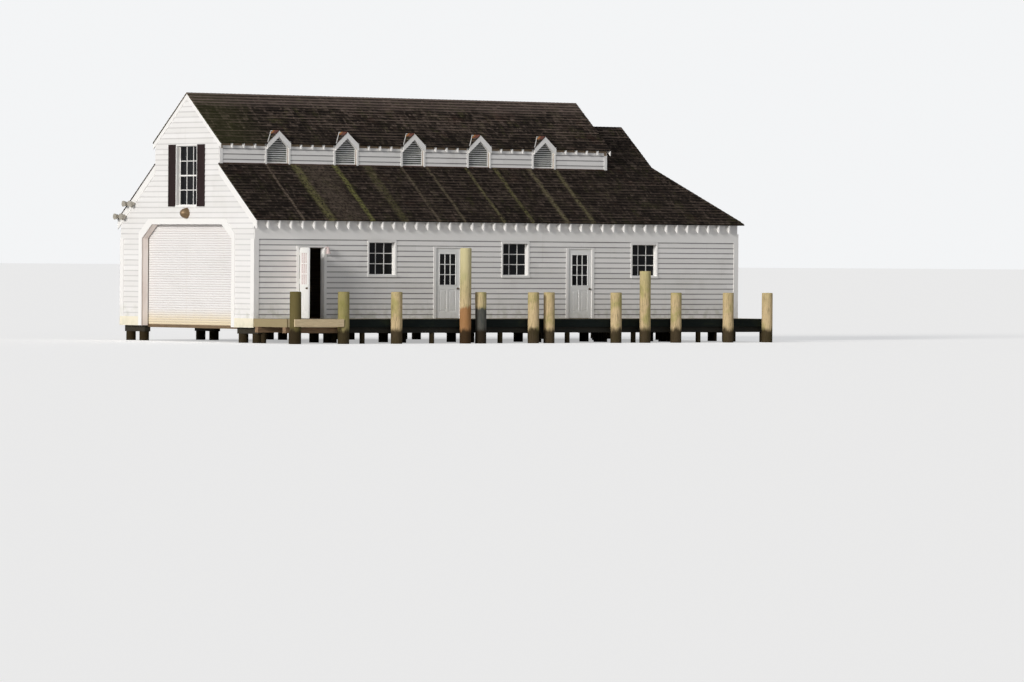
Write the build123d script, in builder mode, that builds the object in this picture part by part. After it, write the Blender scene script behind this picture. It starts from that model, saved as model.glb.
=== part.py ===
from build123d import *
import os
from math import cos, radians, sin, tan

# A wooden boathouse on piles, in millimetres. X runs along the building from its gable front to its
# hipped end, Y from the side with the deck to the far side, and Z is 0 at the water line.

# Plan and levels
length = 17890
width = 6660
bay = 2438.4
first_bay = 2075
wall_thickness = 140
floor_level = 700
floor_thickness = 60
skirt_bottom = 440
frieze_bottom = 2960
board = 25

# Lower roof
roof_angle = 40.2
roof_thickness = 25
eave_level = 3520
eave_overhang = 150
rake_overhang = 35
gablet_setback = 1860
rafter_width = 40
rafter_depth = 258
rafter_spacing = 406.4
first_rafter = 402

# Monitor, the raised strip along the middle of the roof
monitor_setback = 1740
monitor_length = 14210
monitor_wall = 100
monitor_eave_level = 5726
monitor_overhang = 100
monitor_end_overhang = 80
monitor_rafter_depth = 150

# Louvred dormers in both sides of the monitor
dormer_count = 5
dormer_shift = -30
dormer_overhang = 70
dormer_half_width = 415
dormer_roof_thickness = 25
dormer_rake_depth = 175
louvre_half_width = 385
louvre_frame = 35
louvre_recess = 30
louvre_bottom = 5170
louvre_depth = 45
slat_pitch = 62
slat_thickness = 9
slat_angle = 40
slat_setback = 4

# Slip entrance in the gable, closed by a roller shutter
entrance_width = 4490
entrance_top = 3370
entrance_chamfer_width = 500
entrance_chamfer_height = 400
entrance_casing = 160
entrance_lining = 25
entrance_reveal = 205
curtain_gap = 30
curtain_thickness = 25
curtain_edge = 40
guide_depth = 90
guide_width = 60
guide_slot_clearance = 5
bottom_bar_height = 90
bottom_bar_thickness = 50
curtain_bottom = 480
drum_radius = 160
drum_level = 3620
seat_gap = 0.3

# Doors, all hinged on their left and opening outwards
door_bay_numbers = (0, 2, 4)
door_offsets = (-70, -45, -10)
door_opening = 900
door_opening_height = 2050
door_jamb = 20
door_gap = 5
door_foot_gap = 10
door_thickness = 45
door_stop = 15
door_casing = 100
door_head_casing = 50
door_glass_width = 580
door_glass_height = 890
door_top_rail = 160
door_panel_height = 640
door_bottom_rail = 190
door_panel_recess = 8
door_glass_thickness = 6
door_rest_angles = (109.5, 0, 0)
hinge_offset = 10
hinge_radius = 8
hinge_height = 100
hinge_plate = 55
hinge_plate_thickness = 3
hinge_levels = (180, 1000, 1820)
hinge_collar = 25
hinge_collar_gap = 0.3
knob_level = 868
knob_inset = 62
knob_radius = 27
knob_reach = 62
knob_steps = 6
knob_first_turn = -60
knob_rose_radius = 30
knob_rose = 8
knob_neck_radius = 11

# Windows
window_bay_numbers = (1, 3, 5)
window_opening = 960
window_head = 2905
window_casing = 40
gable_window_casing = 20
window_glass_depth = 100
end_window_offset = 1500
gable_window_width = 1030
gable_window_height = 1730
gable_window_sill = 3910
sash_width = 30
window_lining = 12
sash_depth = 40
glass_thickness = 6
sill_height = 55
sill_reach = 45
blind_width = 370
blind_thickness = 35
blind_overlap = 25
blind_rail = 50
blind_recess = 10

# Trim
corner_board = 150
monitor_corner_board = 110
ridge_cap_width = 130
ridge_cap_thickness = 18
dormer_cap_width = 100

# Slip, walkways and the timber under the floor
slip_clearance = 70
slip_length = 14210
sill_width = 140
cap_height = 180
cap_width = 200
pile_radius = 140
pile_inset = 170
first_bent = 250
bent_count = 8

# Deck along the front wall
deck_depth = 1600
deck_thickness = 40
fascia_thickness = 40
joist_width = 75
joist_height = 190
joist_spacing = 1219.2
beam_height = 165
beam_width = 150
beam_inset = 60
deck_pile_radius = 170
deck_pile_top = 1480
waler_height = 210
waler_thickness = 38
waler_notch = 35
waler_start = 140
waler_end = 104
deck_pile_shares = (0.0095, 0.1034, 0.2085, 0.3779, 0.4857, 0.5182, 0.6579, 0.7854, 0.8977, 0.983)
tall_pile_shares = (0.3466, 0.7194)
tall_pile_tops = (2745, 2110)

# Lamps
dome_radius = 155
dome_reach = 230
dome_level = 3690
dome_steps = 7
flood_insets = (570, 130)
flood_drop = 170
flood_spread = 150
flood_reach = 200
flood_radius = 90
flood_neck_radius = 45
flood_rise = 45
flood_plate_radius = 60
flood_plate = 30
flood_stem_radius = 18
door_lamp_offset = 505
door_lamp_top = 2750
door_lamp_height = 200
door_lamp_radius = 75
door_lamp_neck_radius = 20
door_lamp_reach = 95

# The frame's origin is under the middle of everything that is built
pile_line = deck_depth + deck_pile_radius
front_reach = pile_line + deck_pile_radius + waler_thickness - waler_notch
gable_reach = max(dome_reach, flood_reach + board)
gable_x = (gable_reach - length - eave_overhang) / 2
wall_y = (front_reach - width - eave_overhang) / 2
end_x = gable_x + length
back_y = wall_y + width
middle_y = wall_y + width / 2
monitor_end_x = gable_x + monitor_length
gablet_x = end_x - gablet_setback
slip_end_x = gable_x + slip_length

slope = tan(radians(roof_angle))
roof_drop = roof_thickness / cos(radians(roof_angle))
dormer_drop = dormer_roof_thickness / cos(radians(roof_angle))
half = width / 2
dormer_ridge = monitor_eave_level + dormer_half_width * slope


def lower_top(inset):
    """Level of the lower roof's top face, at a distance inwards from the wall below it."""
    return eave_level + (inset + eave_overhang) * slope


def lower_under(inset):
    return lower_top(inset) - roof_drop


def upper_top(inset):
    """Level of the monitor roof's top face, measured inwards from the long wall."""
    return monitor_eave_level + (inset - monitor_setback + monitor_overhang) * slope


def upper_under(inset):
    return upper_top(inset) - roof_drop


def bay_x(number):
    return gable_x + first_bay + number * bay


door_middles = [bay_x(number) + offset for number, offset in zip(door_bay_numbers, door_offsets)]


def cross_section(x):
    """Plane across the building: its sketches use Y and Z, and it faces the hipped end."""
    return Plane.YZ.offset(x)


def long_section(y):
    """Plane along the building: its sketches use X and Z, and it faces the deck side."""
    return Plane.XZ.offset(-y)


def level(z):
    return Plane.XY.offset(z)


middle_plane = long_section(middle_y)
os.makedirs("parts", exist_ok=True)


def save(piece, name):
    piece.part.label = name
    export_step(piece.part, "parts/" + name + ".step")


def rectangle(low_x, high_x, low_y, high_y, mode=Mode.ADD):
    """Adds a rectangle, from its limits, to the sketch that is being made."""
    with Locations(((low_x + high_x) / 2, (low_y + high_y) / 2)):
        Rectangle(high_x - low_x, high_y - low_y, mode=mode)


def entrance_outline(grow, bottom):
    """The entrance's outline with chamfered top corners, grown outwards by a margin."""
    side = entrance_width / 2 + grow
    top = entrance_top + grow
    shoulder = side - entrance_chamfer_width
    shoulder_level = top - entrance_chamfer_height
    return [(middle_y - side, bottom), (middle_y - side, shoulder_level), (middle_y - shoulder, top),
            (middle_y + shoulder, top), (middle_y + side, shoulder_level), (middle_y + side, bottom)]


def chevron(low_inset, level_at, drop, middle=middle_y, centre=half):
    """An inverted V across the building, of a given vertical depth."""
    outer = centre - low_inset
    return [(middle - outer, level_at(low_inset)), (middle, level_at(centre)),
            (middle + outer, level_at(low_inset)), (middle + outer, level_at(low_inset) - drop),
            (middle, level_at(centre) - drop), (middle - outer, level_at(low_inset) - drop)]


# Front wall between the doorways, and the header over them
shoulder_z = entrance_top - entrance_chamfer_height
door_half = door_opening / 2
door_head = floor_level + door_opening_height
wall_start_x = gable_x + wall_thickness

with BuildPart() as front_wall:
    edges = [wall_start_x]
    for middle in door_middles:
        edges += [middle - door_half, middle + door_half]
    edges.append(end_x)
    with BuildSketch(long_section(wall_y)):
        for low, high in zip(edges[0::2], edges[1::2]):
            rectangle(low, high, floor_level, frieze_bottom)
        for number in window_bay_numbers:
            rectangle(bay_x(number) - window_opening / 2, bay_x(number) + window_opening / 2,
                      window_head - window_opening, window_head, Mode.SUBTRACT)
    extrude(amount=-wall_thickness)
save(front_wall, "front_wall")


def hip_wedge():
    """Takes away what would stand above the hipped end's roof."""
    with BuildSketch(long_section(wall_y)) as wedge:
        Polygon((end_x + board, lower_under(-board)), (end_x - wall_thickness, lower_under(wall_thickness)),
                (end_x + board, lower_under(wall_thickness)), align=None)
    extrude(wedge.sketch, amount=-width, mode=Mode.SUBTRACT)


with BuildPart() as front_wall_header:
    with BuildSketch(cross_section(wall_start_x)):
        Polygon((wall_y, frieze_bottom), (wall_y + wall_thickness, frieze_bottom),
                (wall_y + wall_thickness, lower_under(wall_thickness)), (wall_y, lower_under(0)), align=None)
    extrude(amount=end_x - wall_start_x)
    with BuildSketch(long_section(wall_y)):
        for middle in door_middles:
            rectangle(middle - door_half, middle + door_half, door_head, frieze_bottom)
    extrude(amount=-wall_thickness)
    hip_wedge()
save(front_wall_header, "front_wall_header")

with BuildPart() as back_wall:
    with BuildSketch(cross_section(wall_start_x)):
        Polygon((back_y, floor_level), (back_y - wall_thickness, floor_level),
                (back_y - wall_thickness, lower_under(wall_thickness)), (back_y, lower_under(0)), align=None)
    extrude(amount=end_x - wall_start_x)
    with BuildSketch(long_section(back_y)):
        for number in window_bay_numbers:
            rectangle(bay_x(number) - window_opening / 2, bay_x(number) + window_opening / 2,
                      window_head - window_opening, window_head)
    extrude(amount=wall_thickness, mode=Mode.SUBTRACT)
    hip_wedge()
save(back_wall, "back_wall")

with BuildPart() as end_wall:
    with BuildSketch(long_section(back_y - wall_thickness)):
        Polygon((end_x - wall_thickness, floor_level), (end_x, floor_level), (end_x, lower_under(0)),
                (end_x - wall_thickness, lower_under(wall_thickness)), align=None)
    extrude(amount=width - 2 * wall_thickness)
    with BuildSketch(cross_section(end_x)):
        for side in (-1, 1):
            place = middle_y + side * end_window_offset
            rectangle(place - window_opening / 2, place + window_opening / 2,
                      window_head - window_opening, window_head)
    extrude(amount=-wall_thickness, mode=Mode.SUBTRACT)
save(end_wall, "end_wall")

# Gable front, split beside and over the slip entrance
wall_cut = entrance_width / 2 + entrance_lining

with BuildPart() as gable_piers:
    with BuildSketch(cross_section(gable_x)):
        rectangle(wall_y, middle_y - wall_cut, floor_level, shoulder_z + entrance_lining)
        rectangle(middle_y + wall_cut, back_y, floor_level, shoulder_z + entrance_lining)
    extrude(amount=wall_thickness)
save(gable_piers, "gable_piers")

with BuildPart() as gable_wall:
    notch = entrance_outline(entrance_lining, shoulder_z + entrance_lining)[1:5]
    base = shoulder_z + entrance_lining
    with BuildSketch(cross_section(gable_x)):
        Polygon((wall_y, base), *notch, (back_y, base), (back_y, lower_under(0)),
                (back_y - monitor_setback, lower_under(monitor_setback)),
                (back_y - monitor_setback, upper_under(monitor_setback)),
                (middle_y, upper_under(half)),
                (wall_y + monitor_setback, upper_under(monitor_setback)),
                (wall_y + monitor_setback, lower_under(monitor_setback)),
                (wall_y, lower_under(0)), align=None)
        rectangle(middle_y - gable_window_width / 2, middle_y + gable_window_width / 2,
                  gable_window_sill, gable_window_sill + gable_window_height, Mode.SUBTRACT)
    extrude(amount=wall_thickness)
save(gable_wall, "gable_wall")

# Monitor walls, with an opening for each louvre


def dormer_attic(drop):
    """Outline under a dormer roof's top face, around its own middle."""
    return [(-dormer_half_width, monitor_eave_level - drop), (-dormer_half_width, monitor_eave_level),
            (0, dormer_ridge), (dormer_half_width, monitor_eave_level),
            (dormer_half_width, monitor_eave_level - drop)]


monitor_front_y = wall_y + monitor_setback
monitor_eave_y = monitor_front_y - monitor_overhang
dormer_face_y = monitor_front_y - dormer_overhang
dormer_middles = [bay_x(number) + dormer_shift for number in range(dormer_count)]

with BuildPart() as monitor_side_walls:
    inner = monitor_setback + monitor_wall
    with BuildSketch(cross_section(wall_start_x)):
        Polygon((wall_y + monitor_setback, lower_under(monitor_setback)),
                (wall_y + inner, lower_under(monitor_setback)), (wall_y + inner, upper_under(inner)),
                (wall_y + monitor_setback, upper_under(monitor_setback)), align=None)
    extrude(amount=monitor_length - wall_thickness - monitor_wall)
    with BuildSketch(long_section(monitor_front_y)):
        for middle in dormer_middles:
            rectangle(middle - louvre_half_width, middle + louvre_half_width,
                      louvre_bottom - louvre_frame, monitor_eave_level)
            with Locations((middle, 0)):
                Polygon(*dormer_attic(dormer_drop), align=None)
    extrude(amount=-monitor_wall, mode=Mode.SUBTRACT)
    mirror(about=middle_plane)
save(monitor_side_walls, "monitor_side_walls")

with BuildPart() as monitor_end_wall:
    with BuildSketch(cross_section(monitor_end_x - monitor_wall)):
        Polygon((wall_y + monitor_setback, lower_under(monitor_setback)),
                (wall_y + monitor_setback, upper_under(monitor_setback)), (middle_y, upper_under(half)),
                (back_y - monitor_setback, upper_under(monitor_setback)),
                (back_y - monitor_setback, lower_under(monitor_setback)),
                (middle_y, lower_under(half)), align=None)
    extrude(amount=monitor_wall)
save(monitor_end_wall, "monitor_end_wall")

with BuildPart() as gablet_wall:
    with BuildSketch(cross_section(gablet_x - monitor_wall)):
        Polygon((wall_y + gablet_setback, lower_under(gablet_setback)), (middle_y, lower_under(half)),
                (back_y - gablet_setback, lower_under(gablet_setback)), align=None)
    extrude(amount=monitor_wall)
save(gablet_wall, "gablet_wall")

# Roofs


def lower_slope(piece_width):
    """Section through the front slope of the lower roof, from its eave inwards."""
    eave_y = wall_y - eave_overhang
    inner_y = wall_y + piece_width
    return [(eave_y, lower_top(-eave_overhang)), (inner_y, lower_top(piece_width)),
            (inner_y, lower_under(piece_width)), (eave_y, lower_under(-eave_overhang))]


# Inset at which the gablet's overhanging roof stands clear of the hip roof below it
clear_inset = gablet_setback + roof_drop / slope + seat_gap

with BuildPart() as lower_roof_front:
    with BuildSketch(cross_section(gable_x - rake_overhang)):
        Polygon(*lower_slope(half), align=None)
    extrude(amount=length + rake_overhang + eave_overhang)
    with BuildSketch(level(0)):
        Polygon((gable_x - rake_overhang, wall_y - eave_overhang),
                (end_x + eave_overhang, wall_y - eave_overhang),
                (gablet_x, wall_y + gablet_setback), (gablet_x, wall_y + clear_inset),
                (gablet_x + rake_overhang, wall_y + clear_inset),
                (gablet_x + rake_overhang, middle_y), (monitor_end_x, middle_y),
                (monitor_end_x, wall_y + monitor_setback),
                (gable_x - rake_overhang, wall_y + monitor_setback), align=None)
    extrude(amount=lower_top(half), mode=Mode.INTERSECT)
save(lower_roof_front, "lower_roof_front")

with BuildPart() as lower_roof_back:
    mirror(lower_roof_front.part, about=middle_plane)
save(lower_roof_back, "lower_roof_back")

with BuildPart() as hip_roof:
    with BuildSketch(long_section(back_y + eave_overhang)):
        Polygon((end_x + eave_overhang, lower_top(-eave_overhang)),
                (gablet_x, lower_top(gablet_setback)), (gablet_x, lower_under(gablet_setback)),
                (end_x + eave_overhang, lower_under(-eave_overhang)), align=None)
    extrude(amount=width + 2 * eave_overhang)
    with BuildSketch(level(0)):
        Polygon((end_x + eave_overhang, wall_y - eave_overhang),
                (end_x + eave_overhang, back_y + eave_overhang),
                (gablet_x, back_y - gablet_setback), (gablet_x, wall_y + gablet_setback), align=None)
    extrude(amount=lower_top(half), mode=Mode.INTERSECT)
save(hip_roof, "hip_roof")

monitor_roof_start = gable_x - rake_overhang
monitor_roof_length = monitor_length + rake_overhang + monitor_end_overhang

with BuildPart() as upper_roof_front:
    with BuildSketch(cross_section(monitor_roof_start)):
        tip = monitor_setback - monitor_overhang
        Polygon((wall_y + tip, upper_top(tip)), (middle_y, upper_top(half)), (middle_y, upper_under(half)),
                (wall_y + tip, upper_under(tip)), align=None)
    extrude(amount=monitor_roof_length)
    with BuildSketch(long_section(monitor_eave_y)):
        for middle in dormer_middles:
            with Locations((middle, 0)):
                Polygon(*dormer_attic(2 * roof_drop), align=None)
    extrude(amount=-(half - tip), mode=Mode.SUBTRACT)
save(upper_roof_front, "upper_roof_front")

with BuildPart() as upper_roof_back:
    mirror(upper_roof_front.part, about=middle_plane)
save(upper_roof_back, "upper_roof_back")

# Dormer roofs run back from just behind the monitor's eave until their ridge meets the main slope
dormer_run = dormer_half_width - monitor_overhang + dormer_overhang

with BuildPart() as dormer_roofs:
    with BuildSketch(long_section(dormer_face_y)):
        for middle in dormer_middles:
            with Locations((middle, 0)):
                Polygon((-dormer_half_width, monitor_eave_level), (0, dormer_ridge),
                        (dormer_half_width, monitor_eave_level),
                        (dormer_half_width, monitor_eave_level - dormer_drop),
                        (0, dormer_ridge - dormer_drop),
                        (-dormer_half_width, monitor_eave_level - dormer_drop), align=None)
    extrude(amount=-(dormer_run + roof_drop / slope))
    mirror(about=middle_plane)
save(dormer_roofs, "dormer_roofs")


def louvre_outline(margin):
    """The louvre's pentagon, around its own middle, drawn in by a margin on every side."""
    side = louvre_half_width - margin
    peak = dormer_ridge - dormer_drop - margin / cos(radians(roof_angle))
    return [(-side, louvre_bottom - louvre_frame + margin), (side, louvre_bottom - louvre_frame + margin),
            (side, peak - side * slope), (0, peak), (-side, peak - side * slope)]


# One louvre: slanted slats clipped to the pentagon, inside a mitred frame
slat_level_count = int((dormer_ridge - louvre_bottom) / slat_pitch)
slat_back = louvre_depth - slat_setback
slat_rise = (slat_back - slat_setback) * tan(radians(slat_angle))
slat_height = slat_thickness / cos(radians(slat_angle))

with BuildPart() as louvre_slats:
    with BuildSketch(cross_section(-louvre_half_width)):
        for number in range(slat_level_count):
            foot = louvre_bottom - slat_height / 2 + number * slat_pitch
            Polygon((slat_setback, foot), (slat_back, foot + slat_rise),
                    (slat_back, foot + slat_rise + slat_height), (slat_setback, foot + slat_height), align=None)
    extrude(amount=2 * louvre_half_width)
    with BuildSketch(long_section(0)):
        Polygon(*louvre_outline(louvre_frame / 2), align=None)
    extrude(amount=-louvre_depth, mode=Mode.INTERSECT)

with BuildPart() as louvre:
    with BuildSketch(long_section(0)):
        Polygon(*louvre_outline(0), align=None)
        Polygon(*louvre_outline(louvre_frame), align=None, mode=Mode.SUBTRACT)
    extrude(amount=-louvre_depth)
    add(louvre_slats.part)

with BuildPart() as dormer_louvres:
    with Locations(*[(middle, monitor_front_y + louvre_recess, 0) for middle in dormer_middles]):
        add(louvre.part)
    mirror(about=middle_plane)
save(dormer_louvres, "dormer_louvres")

# Rafter tails with plumb-cut ends, seated on the wall and under the roof


def tail(inset, depth, reach, under):
    """Side outline of one tail, from the wall's face out to just behind the roof's edge."""
    tip = inset - reach + board / 2
    high = under(inset) - seat_gap
    low = under(tip) - seat_gap
    return [(inset, high), (tip, low), (tip, low - depth), (inset, high - depth)]


side_rafter_count = int((length - 2 * first_rafter) / rafter_spacing) + 1
side_rafter_places = [gable_x + first_rafter + number * rafter_spacing
                      for number in range(side_rafter_count)]
end_rafter_count = int(width / rafter_spacing)
end_rafter_start = middle_y - (end_rafter_count - 1) * rafter_spacing / 2
end_rafter_places = [end_rafter_start + number * rafter_spacing for number in range(end_rafter_count)]
monitor_rafter_places = [
    place for place in side_rafter_places if place < monitor_end_x - rafter_spacing / 2
    and min(abs(place - middle) for middle in dormer_middles) > dormer_half_width + rafter_width]

eave_tail = tail(0, rafter_depth, eave_overhang, lower_under)
monitor_tail = tail(monitor_setback, monitor_rafter_depth, monitor_overhang, upper_under)

with BuildPart() as side_tail:
    with BuildSketch(cross_section(-rafter_width / 2)):
        Polygon(*[(wall_y + inset, z) for inset, z in eave_tail], align=None)
    extrude(amount=rafter_width)

with BuildPart() as end_tail:
    with BuildSketch(long_section(rafter_width / 2)):
        Polygon(*[(end_x - inset, z) for inset, z in eave_tail], align=None)
    extrude(amount=rafter_width)

with BuildPart() as high_tail:
    with BuildSketch(cross_section(-rafter_width / 2)):
        Polygon(*[(wall_y + inset, z) for inset, z in monitor_tail], align=None)
    extrude(amount=rafter_width)

with BuildPart() as rafter_tails:
    with Locations(*[(place, 0, 0) for place in side_rafter_places]):
        add(side_tail.part)
    with Locations(*[(place, 0, 0) for place in monitor_rafter_places]):
        add(high_tail.part)
    mirror(about=middle_plane)
    with Locations(*[(0, place, 0) for place in end_rafter_places]):
        add(end_tail.part)
save(rafter_tails, "rafter_tails")

# Rake boards on the gable, the monitor's far end, the gablet and the dormers


def half_rake(low_inset, high_inset, under, drop):
    return [(wall_y + low_inset, under(low_inset)), (wall_y + high_inset, under(high_inset)),
            (wall_y + high_inset, under(high_inset) - drop), (wall_y + low_inset, under(low_inset) - drop)]


with BuildPart() as rake_boards:
    with BuildSketch(cross_section(gable_x)):
        Polygon(*half_rake(-eave_overhang, monitor_setback, lower_under, rafter_depth), align=None)
        mirror(about=Plane.YZ.offset(middle_y))
        Polygon(*chevron(monitor_setback - monitor_overhang, upper_under, monitor_rafter_depth), align=None)
    extrude(amount=-board)
    with BuildSketch(cross_section(monitor_end_x + monitor_end_overhang - board)):
        Polygon(*chevron(monitor_setback - monitor_overhang, upper_under, monitor_rafter_depth), align=None)
    extrude(amount=board)
    with BuildSketch(cross_section(gablet_x)):
        foot_inset = clear_inset + monitor_rafter_depth / slope
        Polygon(*chevron(foot_inset, lower_under, monitor_rafter_depth), align=None)
    extrude(amount=board)
    for side in (1, -1):
        face = middle_y - side * (middle_y - dormer_face_y)
        with BuildSketch(long_section(face)):
            for middle in dormer_middles:
                with Locations((middle, 0)):
                    Polygon((-dormer_half_width, monitor_eave_level), (0, dormer_ridge),
                            (dormer_half_width, monitor_eave_level),
                            (dormer_half_width, monitor_eave_level - dormer_rake_depth),
                            (0, dormer_ridge - dormer_rake_depth),
                            (-dormer_half_width, monitor_eave_level - dormer_rake_depth), align=None)
        extrude(amount=side * board)
save(rake_boards, "rake_boards")

# Ridge caps
upper_ridge = upper_top(half)
lower_ridge = lower_top(half)


def cap_outline(ridge, reach):
    """A folded cap over a ridge, in a plane across that ridge, around its own middle."""
    return [(-reach, ridge - reach * slope), (0, ridge), (reach, ridge - reach * slope),
            (reach, ridge - reach * slope + ridge_cap_thickness), (0, ridge + ridge_cap_thickness),
            (-reach, ridge - reach * slope + ridge_cap_thickness)]


with BuildPart() as ridge_caps:
    with BuildSketch(cross_section(monitor_roof_start)):
        with Locations((middle_y, 0)):
            Polygon(*cap_outline(upper_ridge, ridge_cap_width), align=None)
    extrude(amount=monitor_roof_length)
    with BuildSketch(cross_section(monitor_end_x)):
        with Locations((middle_y, 0)):
            Polygon(*cap_outline(lower_ridge, ridge_cap_width), align=None)
    extrude(amount=gablet_x + rake_overhang - monitor_end_x)
save(ridge_caps, "ridge_caps")

with BuildPart() as dormer_caps:
    with BuildSketch(long_section(dormer_face_y)):
        for middle in dormer_middles:
            with Locations((middle, 0)):
                Polygon(*cap_outline(dormer_ridge, dormer_cap_width), align=None)
    extrude(amount=-(dormer_run - dormer_cap_width))
    mirror(about=middle_plane)
save(dormer_caps, "dormer_caps")

# Corner, frieze and skirt boards
frieze_top = lower_under(-eave_overhang) - rafter_depth
entrance_side = entrance_width / 2 + entrance_casing

with BuildPart() as corner_boards:
    with BuildSketch(level(floor_level)):
        for x, along in ((gable_x, 1), (end_x, -1)):
            with Locations((x, wall_y)):
                Polygon((-along * board, -board), (along * corner_board, -board), (along * corner_board, 0),
                        (0, 0), (0, corner_board), (-along * board, corner_board), align=None)
    extrude(amount=frieze_bottom - floor_level)
    top = monitor_eave_level - roof_drop - monitor_rafter_depth
    with BuildSketch(long_section(monitor_front_y)):
        rectangle(gable_x, gable_x + monitor_corner_board, lower_top(monitor_setback), top)
        rectangle(monitor_end_x - monitor_corner_board, monitor_end_x, lower_top(monitor_setback), top)
    extrude(amount=board)
    mirror(about=middle_plane)
save(corner_boards, "corner_boards")

with BuildPart() as frieze_boards:
    with BuildSketch(level(frieze_bottom)):
        rectangle(gable_x, end_x + board, wall_y - board, wall_y)
        rectangle(end_x, end_x + board, wall_y + seat_gap, back_y - seat_gap)
        rectangle(gable_x, end_x + board, back_y, back_y + board)
    extrude(amount=frieze_top - frieze_bottom)
save(frieze_boards, "frieze_boards")

# Floor beside and behind the slip
slip_width = entrance_width + 2 * slip_clearance
slip_low_y = middle_y - slip_width / 2
slip_high_y = middle_y + slip_width / 2
floor_bottom = floor_level - floor_thickness

with BuildPart() as walkways:
    with BuildSketch(level(floor_bottom)):
        rectangle(gable_x, slip_end_x, wall_y, slip_low_y)
        rectangle(gable_x, slip_end_x, slip_high_y, back_y)
    extrude(amount=floor_thickness)
save(walkways, "walkways")

with BuildPart() as end_platform:
    with BuildSketch(level(floor_bottom)):
        rectangle(slip_end_x, end_x, wall_y, back_y)
    extrude(amount=floor_thickness)
save(end_platform, "end_platform")

# Sill timbers carry the floor's edges: inside the skirt all round, and along the slip
sill_joint = sill_width + seat_gap

with BuildPart() as sill_timbers:
    with BuildSketch(level(skirt_bottom)):
        rectangle(gable_x, end_x, wall_y, wall_y + sill_width)
        rectangle(gable_x, end_x, back_y - sill_width, back_y)
        for place in (slip_end_x, end_x - sill_width):
            rectangle(place, place + sill_width, wall_y + sill_joint, back_y - sill_joint)
        rectangle(gable_x, slip_end_x - seat_gap, slip_low_y - sill_width, slip_low_y)
        rectangle(gable_x, slip_end_x - seat_gap, slip_high_y, slip_high_y + sill_width)
        rectangle(gable_x, gable_x + sill_width, wall_y + sill_joint, slip_low_y - sill_joint)
        rectangle(gable_x, gable_x + sill_width, slip_high_y + sill_joint, back_y - sill_joint)
    extrude(amount=floor_bottom - skirt_bottom)
save(sill_timbers, "sill_timbers")

with BuildPart() as skirt_boards:
    with BuildSketch(cross_section(gable_x)):
        rectangle(wall_y, middle_y - entrance_side, skirt_bottom, floor_level)
        rectangle(middle_y + entrance_side, back_y - seat_gap, skirt_bottom, floor_level)
    extrude(amount=-board)
    with BuildSketch(long_section(back_y)):
        rectangle(gable_x - board, end_x + board, skirt_bottom, floor_level)
    extrude(amount=-board)
    with BuildSketch(cross_section(end_x)):
        rectangle(wall_y, back_y - seat_gap, skirt_bottom, floor_level)
    extrude(amount=board)
save(skirt_boards, "skirt_boards")

# Cross caps and round piles under the building, down to the water line, and posts under the deck
deck_edge_y = wall_y - deck_depth
fascia_height = deck_thickness + joist_height
joist_bottom = floor_level - deck_thickness - joist_height
post_rows = (wall_y - beam_inset - beam_width / 2, deck_edge_y + beam_inset + beam_width / 2)
bent_spacing = (length - 2 * first_bent) / (bent_count - 1)
bent_places = [gable_x + first_bent + number * bent_spacing for number in range(bent_count)]
cap_bottom = skirt_bottom - cap_height
slip_bents = [place for place in bent_places if place < slip_end_x]
end_bents = [place for place in bent_places if place >= slip_end_x]
pile_rows = (wall_y + pile_inset, slip_low_y - pile_inset, slip_high_y + pile_inset, back_y - pile_inset)

with BuildPart() as pile_caps:
    with BuildSketch(level(cap_bottom)):
        for place in slip_bents:
            rectangle(place - cap_width / 2, place + cap_width / 2, wall_y, slip_low_y)
            rectangle(place - cap_width / 2, place + cap_width / 2, slip_high_y, back_y)
        for place in end_bents:
            rectangle(place - cap_width / 2, place + cap_width / 2, wall_y, back_y)
    extrude(amount=cap_height)
save(pile_caps, "pile_caps")

with BuildPart() as foundation_piles:
    with BuildSketch(level(0)):
        with Locations(*[(x, y) for x in bent_places for y in pile_rows]):
            Circle(pile_radius)
        with Locations(*[(x, middle_y) for x in end_bents]):
            Circle(pile_radius)
    extrude(amount=cap_bottom)
    with BuildSketch(level(0)):
        with Locations(*[(x, y) for x in bent_places for y in post_rows]):
            Circle(beam_width / 2)
    extrude(amount=joist_bottom - beam_height)
save(foundation_piles, "foundation_piles")

# Deck along the front wall
with BuildPart() as deck:
    with BuildSketch(level(floor_level - deck_thickness)):
        rectangle(gable_x + fascia_thickness, end_x - fascia_thickness,
                  deck_edge_y + fascia_thickness, wall_y)
    extrude(amount=deck_thickness)
save(deck, "deck")

with BuildPart() as deck_fascia:
    with BuildSketch(level(floor_level - fascia_height)):
        rectangle(gable_x, end_x, deck_edge_y, deck_edge_y + fascia_thickness)
        for place in (gable_x, end_x - fascia_thickness):
            rectangle(place, place + fascia_thickness, deck_edge_y + fascia_thickness + seat_gap, wall_y)
    extrude(amount=fascia_height)
save(deck_fascia, "deck_fascia")

with BuildPart() as deck_joists:
    joist_count = int((length - 2 * first_bent) / joist_spacing) + 1
    with BuildSketch(level(joist_bottom)):
        for number in range(joist_count):
            place = gable_x + first_bent + number * joist_spacing
            rectangle(place - joist_width / 2, place + joist_width / 2,
                      deck_edge_y + fascia_thickness, wall_y)
    extrude(amount=joist_height)
save(deck_joists, "deck_joists")

with BuildPart() as deck_beams:
    with BuildSketch(level(joist_bottom - beam_height)):
        for row in post_rows:
            rectangle(gable_x, end_x, row - beam_width / 2, row + beam_width / 2)
    extrude(amount=beam_height)
save(deck_beams, "deck_beams")

pile_y = wall_y - pile_line
pile_places = [gable_x + share * length for share in deck_pile_shares]

# A waler let into the outer side of the first pile, its far end against the second
with BuildPart() as deck_waler:
    waler_back_y = pile_y - deck_pile_radius + waler_notch
    with BuildSketch(level(floor_level - waler_height)):
        rectangle(pile_places[0] - waler_start, pile_places[1] - waler_end,
                  waler_back_y - waler_thickness, waler_back_y)
    extrude(amount=waler_height)
save(deck_waler, "deck_waler")

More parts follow.
